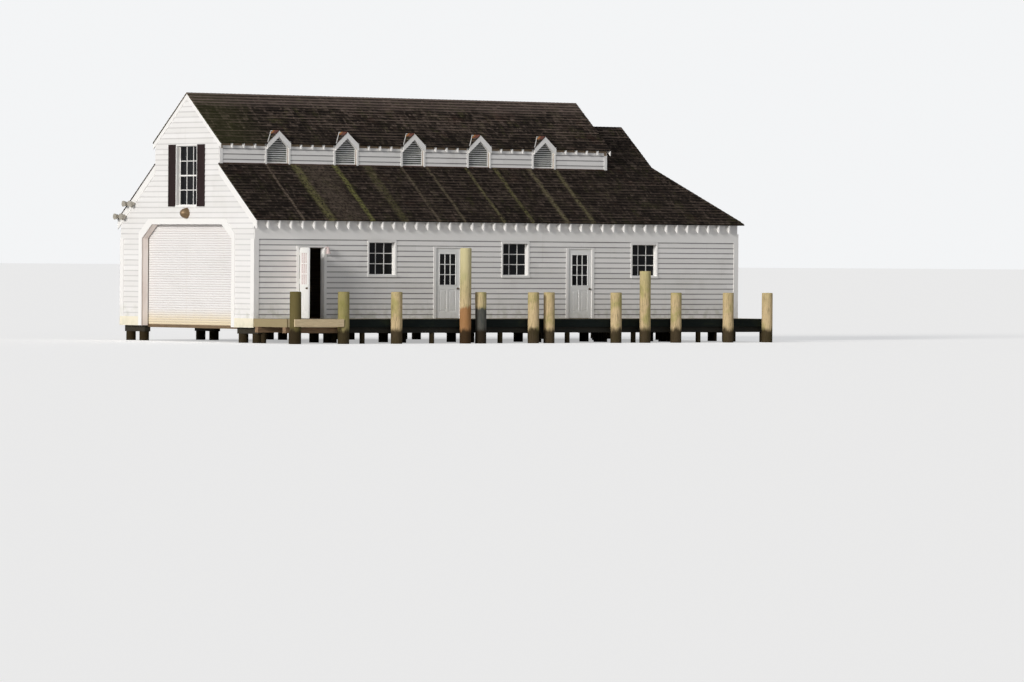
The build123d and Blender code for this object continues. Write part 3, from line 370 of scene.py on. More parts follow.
pileLook = {
    "tan": (0.63, 0.49, 0.28), "green": (0.31, 0.30, 0.085), "grey": (0.60, 0.54, 0.31),
    "wet": (0.022, 0.014, 0.006), "olive": (0.085, 0.066, 0.022), "lime": (0.21, 0.20, 0.062),
    "rust": (0.33, 0.15, 0.055), "wrap": (0.030, 0.042, 0.055), "wetLine": 0.42, "stainLine": 1.02,
}


def pileFinish(name, upper, lower=None, pale=0.4):
    made = Finish(name)
    grain = made.noise(22.0, 5.0, (3, 3, 0.22), 0.68)
    cracks = made.noise(34.0, 3.0, (2.2, 2.2, 0.10), 0.6, 4.0)
    patches = made.noise(2.6, 4.0, (1, 1, 0.7), 0.6, 2.0)
    made.color = made.blend(made.grade(grain, 0.34, 0.66), upper, pileLook["tan"])
    made.lay(made.grade(patches, 0.46, 0.66) * 0.62, pileLook["green"])
    made.lay(made.grade(made.z, 0.9, 1.7) * 0.28, pileLook["green"])
    made.lay(made.grade(cracks, 0.54, 0.66) * 0.75, (0.10, 0.075, 0.04))
    made.lay(made.grade(made.z, 1.1, 2.6) * pale, pileLook["grey"])
    made.lay((1 - made.grade(made.x, gableX + 2.5, gableX + 3.0)) * 0.66, pileLook["lime"])
    made.lay((1 - made.grade(made.x, gableX + 1.0, gableX + 1.3)) * 0.80, pileLook["olive"])
    ragged = made.z + (made.noise(7.0, 4.0, (1, 1, 0.4)) - 0.5) * 0.34
    if lower:
        stain = 1 - made.grade(ragged, pileLook["stainLine"] - 0.06, pileLook["stainLine"] + 0.06)
        made.lay(stain * 0.88, lower)
    damp = 1 - made.grade(ragged, pileLook["wetLine"] - 0.10, pileLook["wetLine"] + 0.08)
    made.lay(damp * 0.93, pileLook["wet"])
    return made.done(0.78, grain + cracks * 0.8, 0.006, Specular_IOR_Level=0.12)


def coatedMetal(name, base, dark, roughness, metal=0.0, **extra):
    made = Finish(name)
    patches = made.noise(3.0, 4.0)
    fine = made.noise(45.0, 3.0)
    made.color = made.blend(made.grade(patches, 0.45, 0.75) * 0.5, base, dark)
    return made.done(roughness + made.grade(fine, 0.4, 0.7) * 0.12, fine, 0.0006, Metallic=metal, **extra)


slat = {"pitch": 0.069, "bulge": 0.010, "thick": 0.012, "steps": 6, "foot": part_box("shutter_curtain")[0].z}


def curtainFinish():
    made = Finish("shutter_paint")
    patches = made.noise(0.9, 3.0, (1, 1, 2))
    runs = made.noise(5.0, 3.0, (1, 1, 0.08))
    made.color = made.blend(made.grade(patches, 0.45, 0.7) * 0.35, (0.80, 0.785, 0.775), (0.73, 0.71, 0.69))
    made.lay(made.grade(runs, 0.58, 0.75) * 0.2, (0.60, 0.54, 0.46))
    foot = 1 - made.grade(made.z + (made.noise(3.0, 3.0) - 0.5) * 0.12, 0.52, 0.98)
    made.lay(foot * 0.75, (0.76, 0.62, 0.36))
    step = made.maths("FRACT", (made.z - slat["foot"]) / slat["pitch"])
    groove = made.grade(step, 0.80, 0.97) + (1 - made.grade(step, 0.02, 0.12))
    made.lay(groove * 0.55, (0.46, 0.36, 0.34))
    return made.done(0.42, made.noise(30.0, 2.0), 0.0004)


def glassFinish():
    made = Finish("window_panes")
    film = made.noise(2.0, 3.0)
    made.color = made.blend(made.grade(film, 0.45, 0.7) * 0.5, (0.006, 0.0065, 0.008), (0.018, 0.017, 0.018))
    gloss = 0.07 + made.grade(film, 0.4, 0.7) * 0.08
    return made.done(gloss, made.noise(1.6, 1.0), 0.0015, Specular_IOR_Level=0.10)


def fasciaFinish():  # pale boards in the first bay and at the far end, nearly black ones between
    made = Finish("fascia_boards")
    grain = made.noise(7.0, 5.0, (0.35, 1, 8), 0.65)
    stain = made.noise(2.4, 4.0, (1, 1, 2), 0.6, 3.0)
    paleTimber = made.blend(made.grade(grain, 0.34, 0.68), (0.96, 0.83, 0.57), (0.82, 0.68, 0.44))
    paleTimber = made.blend(made.grade(stain, 0.55, 0.75) * 0.3, paleTimber, (0.50, 0.40, 0.24))
    gableSide = 1 - made.grade(made.x, gableX + 0.040, gableX + 0.055)
    paleTimber = made.blend(gableSide * 0.90, paleTimber, (0.25, 0.20, 0.105))
    blackTimber = made.blend(made.grade(grain, 0.34, 0.68), (0.008, 0.0115, 0.0105), (0.004, 0.007, 0.006))
    blackTimber = made.blend(made.grade(stain, 0.52, 0.70) * 0.4, blackTimber, (0.020, 0.026, 0.012))
    middle = made.within(made.x, gableX + 2.02, endX - 0.31, 0.01)
    made.color = made.blend(middle, paleTimber, blackTimber)
    return made.done(0.85, grain, 0.002, Specular_IOR_Level=0.12)


def beamFinish():  # timber under the deck: paler in the first bay, nearly black beyond it
    made = Finish("deck_timber")
    grain = made.noise(7.0, 5.0, (0.35, 1, 8), 0.65)
    paleTimber = made.blend(made.grade(grain, 0.34, 0.68), (0.30, 0.20, 0.12), (0.17, 0.11, 0.065))
    blackTimber = made.blend(made.grade(grain, 0.34, 0.68), (0.020, 0.018, 0.013), (0.010, 0.010, 0.008))
    made.color = made.blend(made.grade(made.x, gableX + 1.98, gableX + 2.02), paleTimber, blackTimber)
    return made.done(0.8, grain, 0.0025, Specular_IOR_Level=0.2)


sidingPaint = paintedBoards("painted_clapboards", paint["siding"], plan["floor"], lines=1.0)
# The gable's copy of the wall paint has a weaker painted edge shadow, since the light falls almost square on
# the gable
gablePaint = paintedBoards("gable_clapboard_paint", paint["gable"], plan["floor"], 0.7, lines=0.32)
trimPaint = paintedBoards("painted_trim", paint["trim"], plan["floor"], 0.6)
creamPaint = paintedBoards("painted_skirt", paint["cream"], 0.3, 0.8)
wallPaint = interiorAware("wall_slabs")
shingles = shingleFinish()
deckWood = plainWood("deck_boards", (0.34, 0.29, 0.20), (0.20, 0.165, 0.11), (0.5, 8, 8))
floorWood = plainWood("floor_boards", (0.27, 0.175, 0.10), (0.16, 0.10, 0.055), (0.5, 8, 8))
darkWood = plainWood("damp_timber", (0.060, 0.052, 0.036), (0.026, 0.022, 0.016), (1, 2, 8), (0.0, 0.5))
fasciaWood = fasciaFinish()
beamWood = beamFinish()
walerWood = plainWood("waler_board", (0.80, 0.65, 0.42), (0.58, 0.45, 0.27), (0.35, 8, 8))
entrancePaintwork = entrancePaint()
louvreCoatAndShade = louvrePaintAndShade()
capRust = capMetal()
fadedPaint = coatedMetal("faded_lamp_paint", (0.60, 0.48, 0.46), (0.44, 0.35, 0.34), 0.4)
valleyMetal = coatedMetal("valley_strips", (0.80, 0.78, 0.74), (0.55, 0.53, 0.50), 0.5)
# a near-black sheet: painted shade for the dark space behind the louvres
shadeScreenPaint = coatedMetal("dark_painted_shade_screen", (0.014, 0.016, 0.018), (0.008, 0.009, 0.010), 0.9,
                          Specular_IOR_Level=0.1)
# Door 1's panes are pale pink: a painted reflection of light off the open leaf's glass
litPane = coatedMetal("pale_pane_painted_reflection", (0.66, 0.55, 0.54), (0.56, 0.43, 0.42), 0.2)
guideMetal = coatedMetal("guide_metal", (0.085, 0.065, 0.055), (0.045, 0.035, 0.030), 0.55)
flashingPaint = coatedMetal("flashing_paint", (0.085, 0.043, 0.032), (0.045, 0.024, 0.020), 0.7,
                            Specular_IOR_Level=0.2)
pileWood = pileFinish("pile_wood", (0.55, 0.415, 0.235))
rustWood = pileFinish("rust_stained_pile", (0.56, 0.44, 0.26), pileLook["rust"], 0.9)
wrapWood = pileFinish("wrapped_pile", (0.52, 0.42, 0.26), pileLook["wrap"], 0.6)
underWood = pileFinish("under_floor_pile", (0.13, 0.12, 0.06), pale=0.0)
shutterPaint = curtainFinish()
bronze = coatedMetal("bronze_paint", (0.23, 0.155, 0.085), (0.13, 0.08, 0.045), 0.36, 0.55)
lampMetal = coatedMetal("lamp_paint", (0.42, 0.39, 0.33), (0.27, 0.23, 0.17), 0.45, 0.3)
knobMetal = coatedMetal("knob_metal", (0.12, 0.085, 0.055), (0.06, 0.045, 0.03), 0.35, 0.9)
doorPaint = paintedBoards("door_paint", (0.84, 0.84, 0.82), plan["floor"], 0.45)
blindPaint = coatedMetal("black_blind_paint", (0.022, 0.012, 0.012), (0.034, 0.020, 0.020), 0.6,
                         Specular_IOR_Level=0.12)
panes = glassFinish()
print("boathouse: finishes made")


# Closed solids, gathered into one mesh for each piece
class Heap:
    sides = ((0, 3, 2, 1), (4, 5, 6, 7), (0, 1, 5, 4), (1, 2, 6, 5), (2, 3, 7, 6), (3, 0, 4, 7))

    def __init__(self):
        self.points = []
        self.faces = []
        self.tones = []

    def solid(self, corners, tone=0.5):  # eight corners: one loop of four, then the loop across from it
        first = len(self.points)
        a, b, d, e = (Vector(corners[i]) for i in (0, 1, 3, 4))
        flip = (b - a).cross(d - a).dot(e - a) < 0
        self.points += [tuple(corner) for corner in corners]
        for side in self.sides:
            loop = [first + i for i in side]
            self.faces.append(loop[::-1] if flip else loop)
        self.tones += [tone] * 8

    def bar(self, one, two):  # a block between two opposite corners
        (x0, x1), (y0, y1), (z0, z1) = (sorted(pair) for pair in zip(one, two))
        self.solid([(x0, y0, z0), (x1, y0, z0), (x1, y1, z0), (x0, y1, z0),
                    (x0, y0, z1), (x1, y0, z1), (x1, y1, z1), (x0, y1, z1)])

    def beam(self, near, far):  # a solid between two loops of four
        self.solid([*near, *far])

    def loft(self, rings, tone=0.5):  # closed rings of one length, capped at both ends
        first, count = len(self.points), len(rings[0])
        centre = sum((Vector(p) for p in rings[0]), Vector()) / count
        facing = Vector()
        for p, q in zip(rings[0], rings[0][1:] + rings[0][:1]):
            facing += (Vector(p) - centre).cross(Vector(q) - centre)
        onward = sum((Vector(p) for p in rings[-1]), Vector()) / count - centre
        flip = facing.dot(onward) < 0
        loops = []
        for ring in range(len(rings) - 1):
            start = first + ring * count
            for i in range(count):
                j = (i + 1) % count
                loops.append([start + i, start + j, start + count + j, start + count + i])
        loops.append([first + i for i in reversed(range(count))])
        loops.append([first + (len(rings) - 1) * count + i for i in range(count)])
        self.faces += [loop[::-1] for loop in loops] if flip else loops
        for ring in rings:
            self.points += [tuple(p) for p in ring]
        self.tones += [tone] * (count * len(rings))

    def piece(self, name, material, slot, body="building", hides=(), smooth=None):
        mesh = bpy.data.meshes.new(name)
        mesh.from_pydata(self.points, [], self.faces)
        tones = mesh.attributes.new("tone", "FLOAT", "POINT")
        tones.data.foreach_set("value", np.array(self.tones, np.float32))
        mesh.materials.append(material)
        if smooth:
            mesh.polygons.foreach_set("use_smooth", [True] * len(mesh.polygons))
            mesh.set_sharp_from_angle(angle=math.radians(smooth))
        made = bpy.data.objects.new(name, mesh)
        bpy.context.scene.collection.objects.link(made)
        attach(made, body)
        if hides:
            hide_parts(*hides)
        print("boathouse:", name, sum(len(face) - 2 for face in self.faces), "triangles")
        return made


def between(table, level):  # a table's left and right limits at one level
    for (z0, a0, b0), (z1, a1, b1) in zip(table, table[1:]):
        if z0 <= level <= z1 and z1 > z0:
            t = (level - z0) / (z1 - z0)
            return a0 + (a1 - a0) * t, b0 + (b1 - b0) * t
    return None


def openRuns(outer, holes, level):
    whole = between(outer, level)
    runs = [whole] if whole else []
    for hole in holes:
        gap = between(hole, level)
        if gap is None:
            continue
        kept = []
        for low, high in runs:
            if gap[0] >= high or gap[1] <= low:
                kept.append((low, high))
                continue
            if gap[0] > low:
                kept.append((low, gap[0]))
            if gap[1] < high:
                kept.append((gap[1], high))
        runs = kept
    return runs


def keptWide(left, right, low, high):  # an edge that has shrunk to nothing stays a hair wide, inside its run
    hair = 0.0005
    if right - left < hair:
        left = min(max(left, low), high)
        right = left + hair
    return left, right


# Courses of boards or shingles over a flat outline
def layCourses(heap, place, outer, holes, look, seed):
    pitch, start = look["pitch"], look["start"]
    hair, near, least = 1e-6, 1e-4, 0.004
    low, high = outer[0][0], outer[-1][0]
    first, last = math.floor((low - start) / pitch), math.ceil((high - start) / pitch)
    cuts = [start + n * pitch for n in range(first, last + 1)]
    cuts += [row[0] for table in [outer] + holes for row in table]
    cuts = sorted(cut for cut in cuts if low <= cut <= high)
    for below, over in zip(cuts, cuts[1:]):
        if over - below < near:
            continue
        course = math.floor((below + near / 10 - start) / pitch)
        foot = start + course * pitch
        pick = random.Random(seed * 1000 + course)
        lows, highs = openRuns(outer, holes, below + hair), openRuns(outer, holes, over - hair)
        if len(lows) != len(highs):
            continue
        left = min(table[1] for table in outer) - pick.uniform(0, look["width"][1])
        reach = max(table[2] for table in outer)
        while left < reach:
            span = pick.uniform(*look["width"])
            tone = pick.random()
            lift, slip = pick.uniform(-1, 1) * look["lift"], pick.uniform(-1, 1) * look["slip"]
            edges = (left + look["gap"] / 2, left + span - look["gap"] / 2)
            left += span
            for (l0, r0), (l1, r1) in zip(lows, highs):
                a, b = max(edges[0], l0), min(edges[1], r0)
                c, d = max(edges[0], l1), min(edges[1], r1)
                if b - a < least and d - c < least:
                    continue
                a, b = keptWide(a, b, l0, r0)
                c, d = keptWide(c, d, l1, r1)
                z0, z1 = below, over
                if abs(below - foot) < near:
                    z0 = max(below + slip, low)
                deep0 = look["butt"] + lift + (look["thin"] - look["butt"]) * (below - foot) / pitch
                deep1 = look["butt"] + lift * 0.3 + (look["thin"] - look["butt"]) * (over - foot) / pitch
                heap.solid([place(a, z0, 0), place(b, z0, 0), place(b, z0, deep0), place(a, z0, deep0),
                            place(c, z1, 0), place(d, z1, 0), place(d, z1, deep1), place(c, z1, deep1)], tone)


# Wall faces: a place from a distance along the wall, a level, and a depth out from its face
def faceAlongX(plane, out):
    def place(a, z, d):
        return (a, plane + out * d, z)
    return place


def faceAlongY(plane, out):
    def place(a, z, d):
        return (plane + out * d, a, z)
    return place


def panel(low, high, left, right):  # an outline with upright sides
    return [(low, left, right), (high, left, right)]


onFront, onBack = faceAlongX(frontY, -1), faceAlongX(backY, 1)
onGable, onEnd = faceAlongY(gableX, -1), faceAlongY(endX, 1)
clapboards = {
    **courseLook, "butt": 0.017, "thin": 0.005, "width": (2.4, 4.9),
    "gap": 0.0015, "lift": 0.0006, "slip": 0.0,
}
windowLook = {
    "half": 0.480, "casing": 0.040, "head": 2.905, "sill": 0.055, "bars": 0.022, "deep": 0.100, "sash": 0.030,
    "thick": 0.040,
}
doorLook = {
    "casing": 0.53, "top": 2.78, "bays": (0, 2, 4), "offsets": (-0.070, -0.045, -0.010),
    "hingeSide": 0.4275, "hingeOut": 0.010, "foot": 0.71,
    "leaf": 0.85, "edge": 0.0025, "thick": 0.045, "glassWide": 0.58, "glassTop": 1.855, "glassHigh": 0.89,
    "panelFoot": 0.19, "panelHigh": 0.64, "recess": 0.008, "rest": (109.5, 0.0, 0.0),
}
doorPlaces = [bayX(n) + offset for n, offset in zip(doorLook["bays"], doorLook["offsets"])]
windowBays = (1, 3, 5)
windowReach = windowLook["half"] + windowLook["casing"]
windowFoot = windowLook["head"] - 2 * windowLook["half"] - windowLook["sill"]


def windowHole(place):
    return panel(windowFoot, plan["frieze"], place - windowReach, place + windowReach)


def doorHole(place):
    return panel(plan["floor"], doorLook["top"], place - doorLook["casing"], place + doorLook["casing"])


corner = plan["cornerBoard"]
longOuter = panel(plan["floor"], plan["frieze"], gableX + corner, endX - corner)
windowHoles = [windowHole(bayX(n)) for n in windowBays]
doorHoles = [doorHole(place) for place in doorPlaces]
boards = Heap()
layCourses(boards, onFront, longOuter, windowHoles + doorHoles, clapboards, 1)
boards.piece("front_clapboards", sidingPaint, "siding")

boards = Heap()
layCourses(boards, onBack, longOuter, windowHoles, clapboards, 2)
boards.piece("back_clapboards", sidingPaint, "siding")

boards = Heap()
endOuter = panel(plan["floor"], plan["frieze"], frontY + corner, backY - corner)
endWindows = (middleY - 1.5, middleY + 1.5)
layCourses(boards, onEnd, endOuter, [windowHole(place) for place in endWindows], clapboards, 3)
boards.piece("end_clapboards", sidingPaint, "siding")

# Gable: up to the rake boards, round the slip entrance and the window with its blinds
entrance = {"half": 2.245, "top": 3.37, "chamferWide": 0.50, "chamferHigh": 0.40, "casing": 0.16}
gableWindow = {"half": 0.515, "casing": 0.020, "sill": 3.91, "high": 1.73, "blind": 0.37, "overlap": 0.025}
lowerTails = lowerTop(0) - slabDrop - plan["tail"]
upperTails = upperTop(plan["monitorInset"]) - slabDrop - plan["highTail"]
monitorFoot = lowerTails + plan["monitorInset"] * rise
apex = upperTails + (half - plan["monitorInset"]) * rise
tip = 0.001
peak = (apex, middleY - tip, middleY + tip)
gableOuter = [
    *endOuter, (plan["frieze"], frontY, backY), (lowerTails, frontY, backY),
    *panel(monitorFoot, upperTails, monitorFront, monitorBack), peak,
]
mouth = entrance["half"] + entrance["casing"]
shoulder = entrance["top"] + entrance["casing"] - entrance["chamferHigh"]
windowSide = gableWindow["half"] + gableWindow["casing"]
mouthTop = mouth - entrance["chamferWide"]
gableHoles = [
    [*panel(plan["floor"], shoulder, middleY - mouth, middleY + mouth),
     (entrance["top"] + entrance["casing"], middleY - mouthTop, middleY + mouthTop)],
    panel(gableWindow["sill"] - windowLook["sill"],
          gableWindow["sill"] + gableWindow["high"] + gableWindow["casing"],
          middleY - windowSide, middleY + windowSide),
]
boards = Heap()
layCourses(boards, onGable, gableOuter, gableHoles, clapboards, 4)
boards.piece("gable_clapboards", gablePaint, "siding")

# Monitor walls between the louvres, its far end above the roof, and the gablet
louvre = {"half": 0.385, "post": 0.060, "postOut": 0.030, "recess": 0.030, "deep": 0.045, "foot": 5.15}
dormerRidge = plan["monitorEave"] + plan["dormerHalf"] * rise
dormerPlaces = [dormerX(n) for n in range(plan["dormers"])]
monitorLow = lowerTop(plan["monitorInset"])
boards = Heap()
posts = Heap()
for sign, plane in monitorSides:
    onMonitor = faceAlongX(plane, -sign)
    outer = panel(monitorLow, upperTails, gableX + plan["monitorCorner"], monitorEndX - plan["monitorCorner"])
    sideReach = louvre["half"] + louvre["post"]
    holes = [panel(monitorLow, upperTails, place - sideReach, place + sideReach) for place in dormerPlaces]
    layCourses(boards, onMonitor, outer, holes, clapboards, 5 + sign)
    for place in dormerPlaces:
        for side in (-1, 1):
            posts.bar(onMonitor(place + side * louvre["half"], monitorLow, 0),
                      onMonitor(place + side * sideReach, plan["monitorEave"] - slabDrop, louvre["postOut"]))
posts.piece("dormer_posts", trimPaint, "trim")
# Dark sheets behind each louvre: painted shade that stands for the dark space behind it
screens = Heap()
screen = {"inset": 0.02, "drop": 0.06, "near": 0.004, "far": 0.010}
screenReach, screenTop = louvre["half"] - screen["inset"], dormerRidge - screen["drop"]
screenEave = screenTop - screenReach * rise
screenOutline = [
    (-screenReach, louvre["foot"]), (screenReach, louvre["foot"]), (screenReach, screenEave),
    (0, screenTop), (-screenReach, screenEave),
]
for place in dormerPlaces:
    for sign, plane in monitorSides:
        depths = [plane + sign * (louvre["recess"] + louvre["deep"] + screen[end]) for end in ("near", "far")]
        screens.loft([[(place + a, y, z) for a, z in screenOutline] for y in depths])
screens.piece("louvre_shade_screens", shadeScreenPaint, "blinds")

# Boxed soffits that close each dormer's eaves from the rake board back to the louvre
soffits = Heap()
soffit = {"low": 0.174, "high": 0.150}
soffitSection = [
    (0, dormerRidge - soffit["high"]), (0, dormerRidge - soffit["low"]),
    (plan["dormerHalf"], plan["monitorEave"] - soffit["low"]),
    (plan["dormerHalf"], plan["monitorEave"] - soffit["high"]),
]
for place in dormerPlaces:
    for side in (-1, 1):
        for sign, plane in monitorSides:
            ends = [plane - sign * plan["dormerOut"], plane + sign * louvre["recess"]]
            soffits.loft([[(place + side * a, y, z) for a, z in soffitSection] for y in ends])
soffits.piece("dormer_soffits", trimPaint, "trim")
boards.piece("monitor_clapboards", sidingPaint, "siding")

boards = Heap()
monitorOuter = [*panel(monitorLow, upperTails, monitorFront, monitorBack), peak]
ridgeHole = [(monitorLow - tip, monitorFront, monitorBack), (lowerTop(half), middleY, middleY)]
layCourses(boards, faceAlongY(monitorEndX, 1), monitorOuter, [ridgeHole], clapboards, 8)
gabletTail = lowerTop(half) - slabDrop - plan["highTail"]
gabletLow = lowerTop(plan["gabletInset"])
gabletHalf = (gabletTail - gabletLow) / rise
gabletOuter = [(gabletLow, middleY - gabletHalf, middleY + gabletHalf), (gabletTail, *peak[1:])]
layCourses(boards, faceAlongY(gabletX, 1), gabletOuter, [], clapboards, 9)
boards.piece("upper_end_clapboards", sidingPaint, "siding")

# Roof slopes: a place from a distance along the eave, one up the slope, and a height off the slab
shingleLook = {
    "pitch": shingleCourse, "start": 0.0165, "butt": 0.0145, "thin": 0.004, "width": (0.075, 0.235),
    "gap": 0.005, "lift": 0.0035, "slip": 0.007,
}


def across(y, mirrored=True):  # the same place on the other long side
    return frontY + backY - y if mirrored else y


def onBackOf(slope):
    def place(a, s, h):
        x, y, z = slope(a, s, h)
        return (x, across(y), z)
    return place


def slopeFront(a, s, h):
    inset = -plan["eaveReach"] + s * along
    return (a, frontY + inset - h * upward, plan["eave"] + s * upward + h * along)


def slopeHip(a, s, h):
    return (endX + plan["eaveReach"] - s * along + h * upward, a, plan["eave"] + s * upward + h * along)


def slopeUpper(a, s, h):
    inset = plan["monitorInset"] - plan["monitorReach"] + s * along
    return (a, frontY + inset - h * upward, plan["monitorEave"] + s * upward + h * along)


slopeBack, slopeUpperBack = onBackOf(slopeFront), onBackOf(slopeUpper)
roofLeft = gableX - plan["rakeReach"]
upperEnd = monitorEndX + plan["monitorEndReach"]
gabletEnd = gabletX + plan["rakeReach"]
eaveEnd = endX + plan["eaveReach"]
capWide = 0.105
toMonitor = (plan["monitorInset"] + plan["eaveReach"]) / along
toGablet = (plan["gabletInset"] + plan["eaveReach"]) / along
toRidge = (half + plan["eaveReach"]) / along - capWide
firstRow = shingleLook["start"]
lowerOuter = [
    (firstRow, roofLeft, eaveEnd - firstRow * along), (toMonitor, roofLeft, eaveEnd - toMonitor * along),
    (toMonitor, monitorEndX, eaveEnd - toMonitor * along), (toGablet, monitorEndX, gabletX),
    *panel(toGablet, toRidge, monitorEndX, gabletEnd),
]
for name, slope, seed in (("front_shingles", slopeFront, 11), ("back_shingles", slopeBack, 12)):
    heap = Heap()
    layCourses(heap, slope, lowerOuter, [], shingleLook, seed)
    heap.piece(name, shingles, "shingles")

heap = Heap()
hipSide = plan["eaveReach"] - firstRow * along
hipOuter = [(firstRow, frontY - hipSide, backY + hipSide),
            (toGablet, frontY + plan["gabletInset"], backY - plan["gabletInset"])]
layCourses(heap, slopeHip, hipOuter, [], shingleLook, 13)
heap.piece("hip_shingles", shingles, "shingles")

upperRun = (half - plan["monitorInset"] + plan["monitorReach"]) / along - capWide
upperOuter = panel(firstRow, upperRun, roofLeft, upperEnd)
dormerHoles = [[(0, place - plan["dormerHalf"], place + plan["dormerHalf"]),
                (plan["dormerHalf"] / along, place - tip / 2, place + tip / 2)] for place in dormerPlaces]
upperSlopes = (("upper_front_shingles", slopeUpper, 14), ("upper_back_shingles", slopeUpperBack, 15))
for name, slope, seed in upperSlopes:
    heap = Heap()
    layCourses(heap, slope, upperOuter, dormerHoles, shingleLook, seed)
    heap.piece(name, shingles, "shingles")

# Dormer roofs: two small slopes each, which run back until they meet the main slope
heap = Heap()
dormerRun = plan["dormerHalf"] / along
smallShingles = {**shingleLook, "butt": 0.011, "lift": 0.0015, "start": 0.006}
dormerFaceY = monitorFront - plan["dormerOut"]
lag = plan["monitorReach"] - plan["dormerOut"]
brow = -0.032
first, last = smallShingles["start"], dormerRun - 0.02
dormerOuter = [(first, brow, first * along - lag), (last, brow, last * along - lag)]
for n, middle in enumerate(dormerPlaces):
    for side in (-1, 1):
        for mirrored in (False, True):
            def onDormer(a, s, h, middle=middle, side=side, mirrored=mirrored):
                x = middle + side * (plan["dormerHalf"] - s * along + h * upward)
                return (x, across(dormerFaceY + a, mirrored), plan["monitorEave"] + s * upward + h * along)
            layCourses(heap, onDormer, dormerOuter, [], smallShingles, 20 + n * 4 + side + mirrored)
heap.piece("dormer_shingles", shingles, "shingles")

heap = Heap()
valley = {"wide": 0.016, "under": 0.016, "over": 0.026, "ends": (0.02, 0.97)}
valleyRing = [(-valley["wide"], valley["under"]), (valley["wide"], valley["under"]),
              (valley["wide"], valley["over"]), (-valley["wide"], valley["over"])]
for middle in dormerPlaces:
    for side in (-1, 1):
        for mirrored in (False, True):
            rows = []
            for t in valley["ends"]:
                level = plan["monitorEave"] + t * plan["dormerHalf"] * rise
                x = middle + side * (1 - t) * plan["dormerHalf"]
                y = across(monitorFront - plan["monitorReach"] + t * plan["dormerHalf"], mirrored)
                rows.append([(x + side * a, y, level + b) for a, b in valleyRing])
            heap.loft(rows)
heap.piece("dormer_valleys", valleyMetal, "trim")

# Ridge boards in overlapping rows, and the same over the two hips
ridgeLook = {
    "pitch": 0.14, "start": roofLeft, "butt": 0.0132, "thin": 0.006, "width": (9.0, 9.1), "gap": 0.0,
    "lift": 0.0, "slip": 0.0,
}
heap = Heap()
fullRun = upperRun + capWide
fullLower = toRidge + capWide
capLap = 0.02
ridges = (
    (slopeUpper, roofLeft, upperEnd, fullRun), (slopeUpperBack, roofLeft, upperEnd, fullRun),
    (slopeFront, monitorEndX, gabletEnd, fullLower), (slopeBack, monitorEndX, gabletEnd, fullLower),
)
for slope, low, high, run in ridges:
    def alongRidge(a, x, h, slope=slope):
        return slope(x, a, h)
    layCourses(heap, alongRidge, panel(low, high, run - capWide - capLap, run), [], ridgeLook, 41)
hipStart = Vector((eaveEnd, frontY - plan["eaveReach"], plan["eave"]))
hipTop = Vector((gabletX, frontY + plan["gabletInset"], lowerTop(plan["gabletInset"])))
hipWay = (hipTop - hipStart).normalized()
hipLength = (hipTop - hipStart).length
hip = {"foot": 0.125, "wide": 0.10, "lift": 0.012}
hipOuter = panel(hip["foot"], hipLength - capLap, 0.0, hip["wide"])
for normal in (Vector((0, -upward, along)), Vector((upward, 0, along))):
    aside = normal.cross(hipWay).normalized()
    if (normal.y < 0 and aside.x > 0) or (normal.x > 0 and aside.y < 0):  # away from the hip, over its slope
        aside = -aside
    for mirrored in (False, True):
        def alongHip(a, t, h, normal=normal, aside=aside, mirrored=mirrored):
            spot = hipStart + hipWay * t + aside * a + normal * (h + hip["lift"])
            return (spot.x, across(spot.y, mirrored), spot.z)
        layCourses(heap, alongHip, hipOuter, [], {**ridgeLook, "start": hip["foot"]}, 43)
heap.piece("ridge_and_hip_boards", shingles, "shingles", hides=["ridge_caps"])

# Rusty strip where the lower roof meets the monitor's walls
heap = Heap()
flashing = {"up": 0.022, "out": 0.020, "along": 0.022, "under": 0.012, "thin": 0.020, "thick": 0.024}
for sign, plane in monitorSides:
    front, top = plane - sign * flashing["out"], monitorLow + flashing["up"]
    upright = ((plane, monitorLow), (front, monitorLow), (front, top), (plane, top))
    foot, footLevel = plane - sign * flashing["along"], monitorLow - flashing["along"] * rise
    sloping = ((plane, monitorLow + flashing["under"]), (foot, footLevel + flashing["under"]),
               (foot, footLevel + flashing["thin"]), (plane, monitorLow + flashing["thick"]))
    for section in (upright, sloping):
        heap.beam([(gableX, y, z) for y, z in section], [(monitorEndX, y, z) for y, z in section])
heap.piece("roof_flashing", flashingPaint, "rust_metal")
print("boathouse: roofs laid")

# Windows: bars in every sash, and the blinds' slats
heap = Heap()


def windowBars(place, centre, up, halfWide, halfHigh, columns, rows, rails=()):
    face, rear = -windowLook["deep"], -windowLook["deep"] - windowLook["thick"]
    wide, high = 2 * (halfWide - windowLook["sash"]), 2 * (halfHigh - windowLook["sash"])
    for column in range(1, columns):
        middle, bar, back = centre - wide / 2 + wide * column / columns, windowLook["bars"], 0.004
        heap.bar(place(middle - bar / 2, up - high / 2, rear + back),
                 place(middle + bar / 2, up + high / 2, face - back))
    for row in range(1, rows):
        middle, back = up - high / 2 + high * row / rows, 0.003
        bar = windowLook["bars"] * (1.9 if row in rails else 1.0)
        heap.bar(place(centre - wide / 2, middle - bar / 2, rear + back),
                 place(centre + wide / 2, middle + bar / 2, face - back))


windowMiddle = windowLook["head"] - windowLook["half"]
small = (windowMiddle, windowLook["half"], windowLook["half"], 3, 3)
for n in windowBays:
    windowBars(onFront, bayX(n), *small)
    windowBars(onBack, bayX(n), *small)
for place in endWindows:
    windowBars(onEnd, place, *small)
windowBars(onGable, middleY, gableWindow["sill"] + gableWindow["high"] / 2, gableWindow["half"],
           gableWindow["high"] / 2, 3, 4, (2,))
heap.piece("window_bars", trimPaint, "trim")

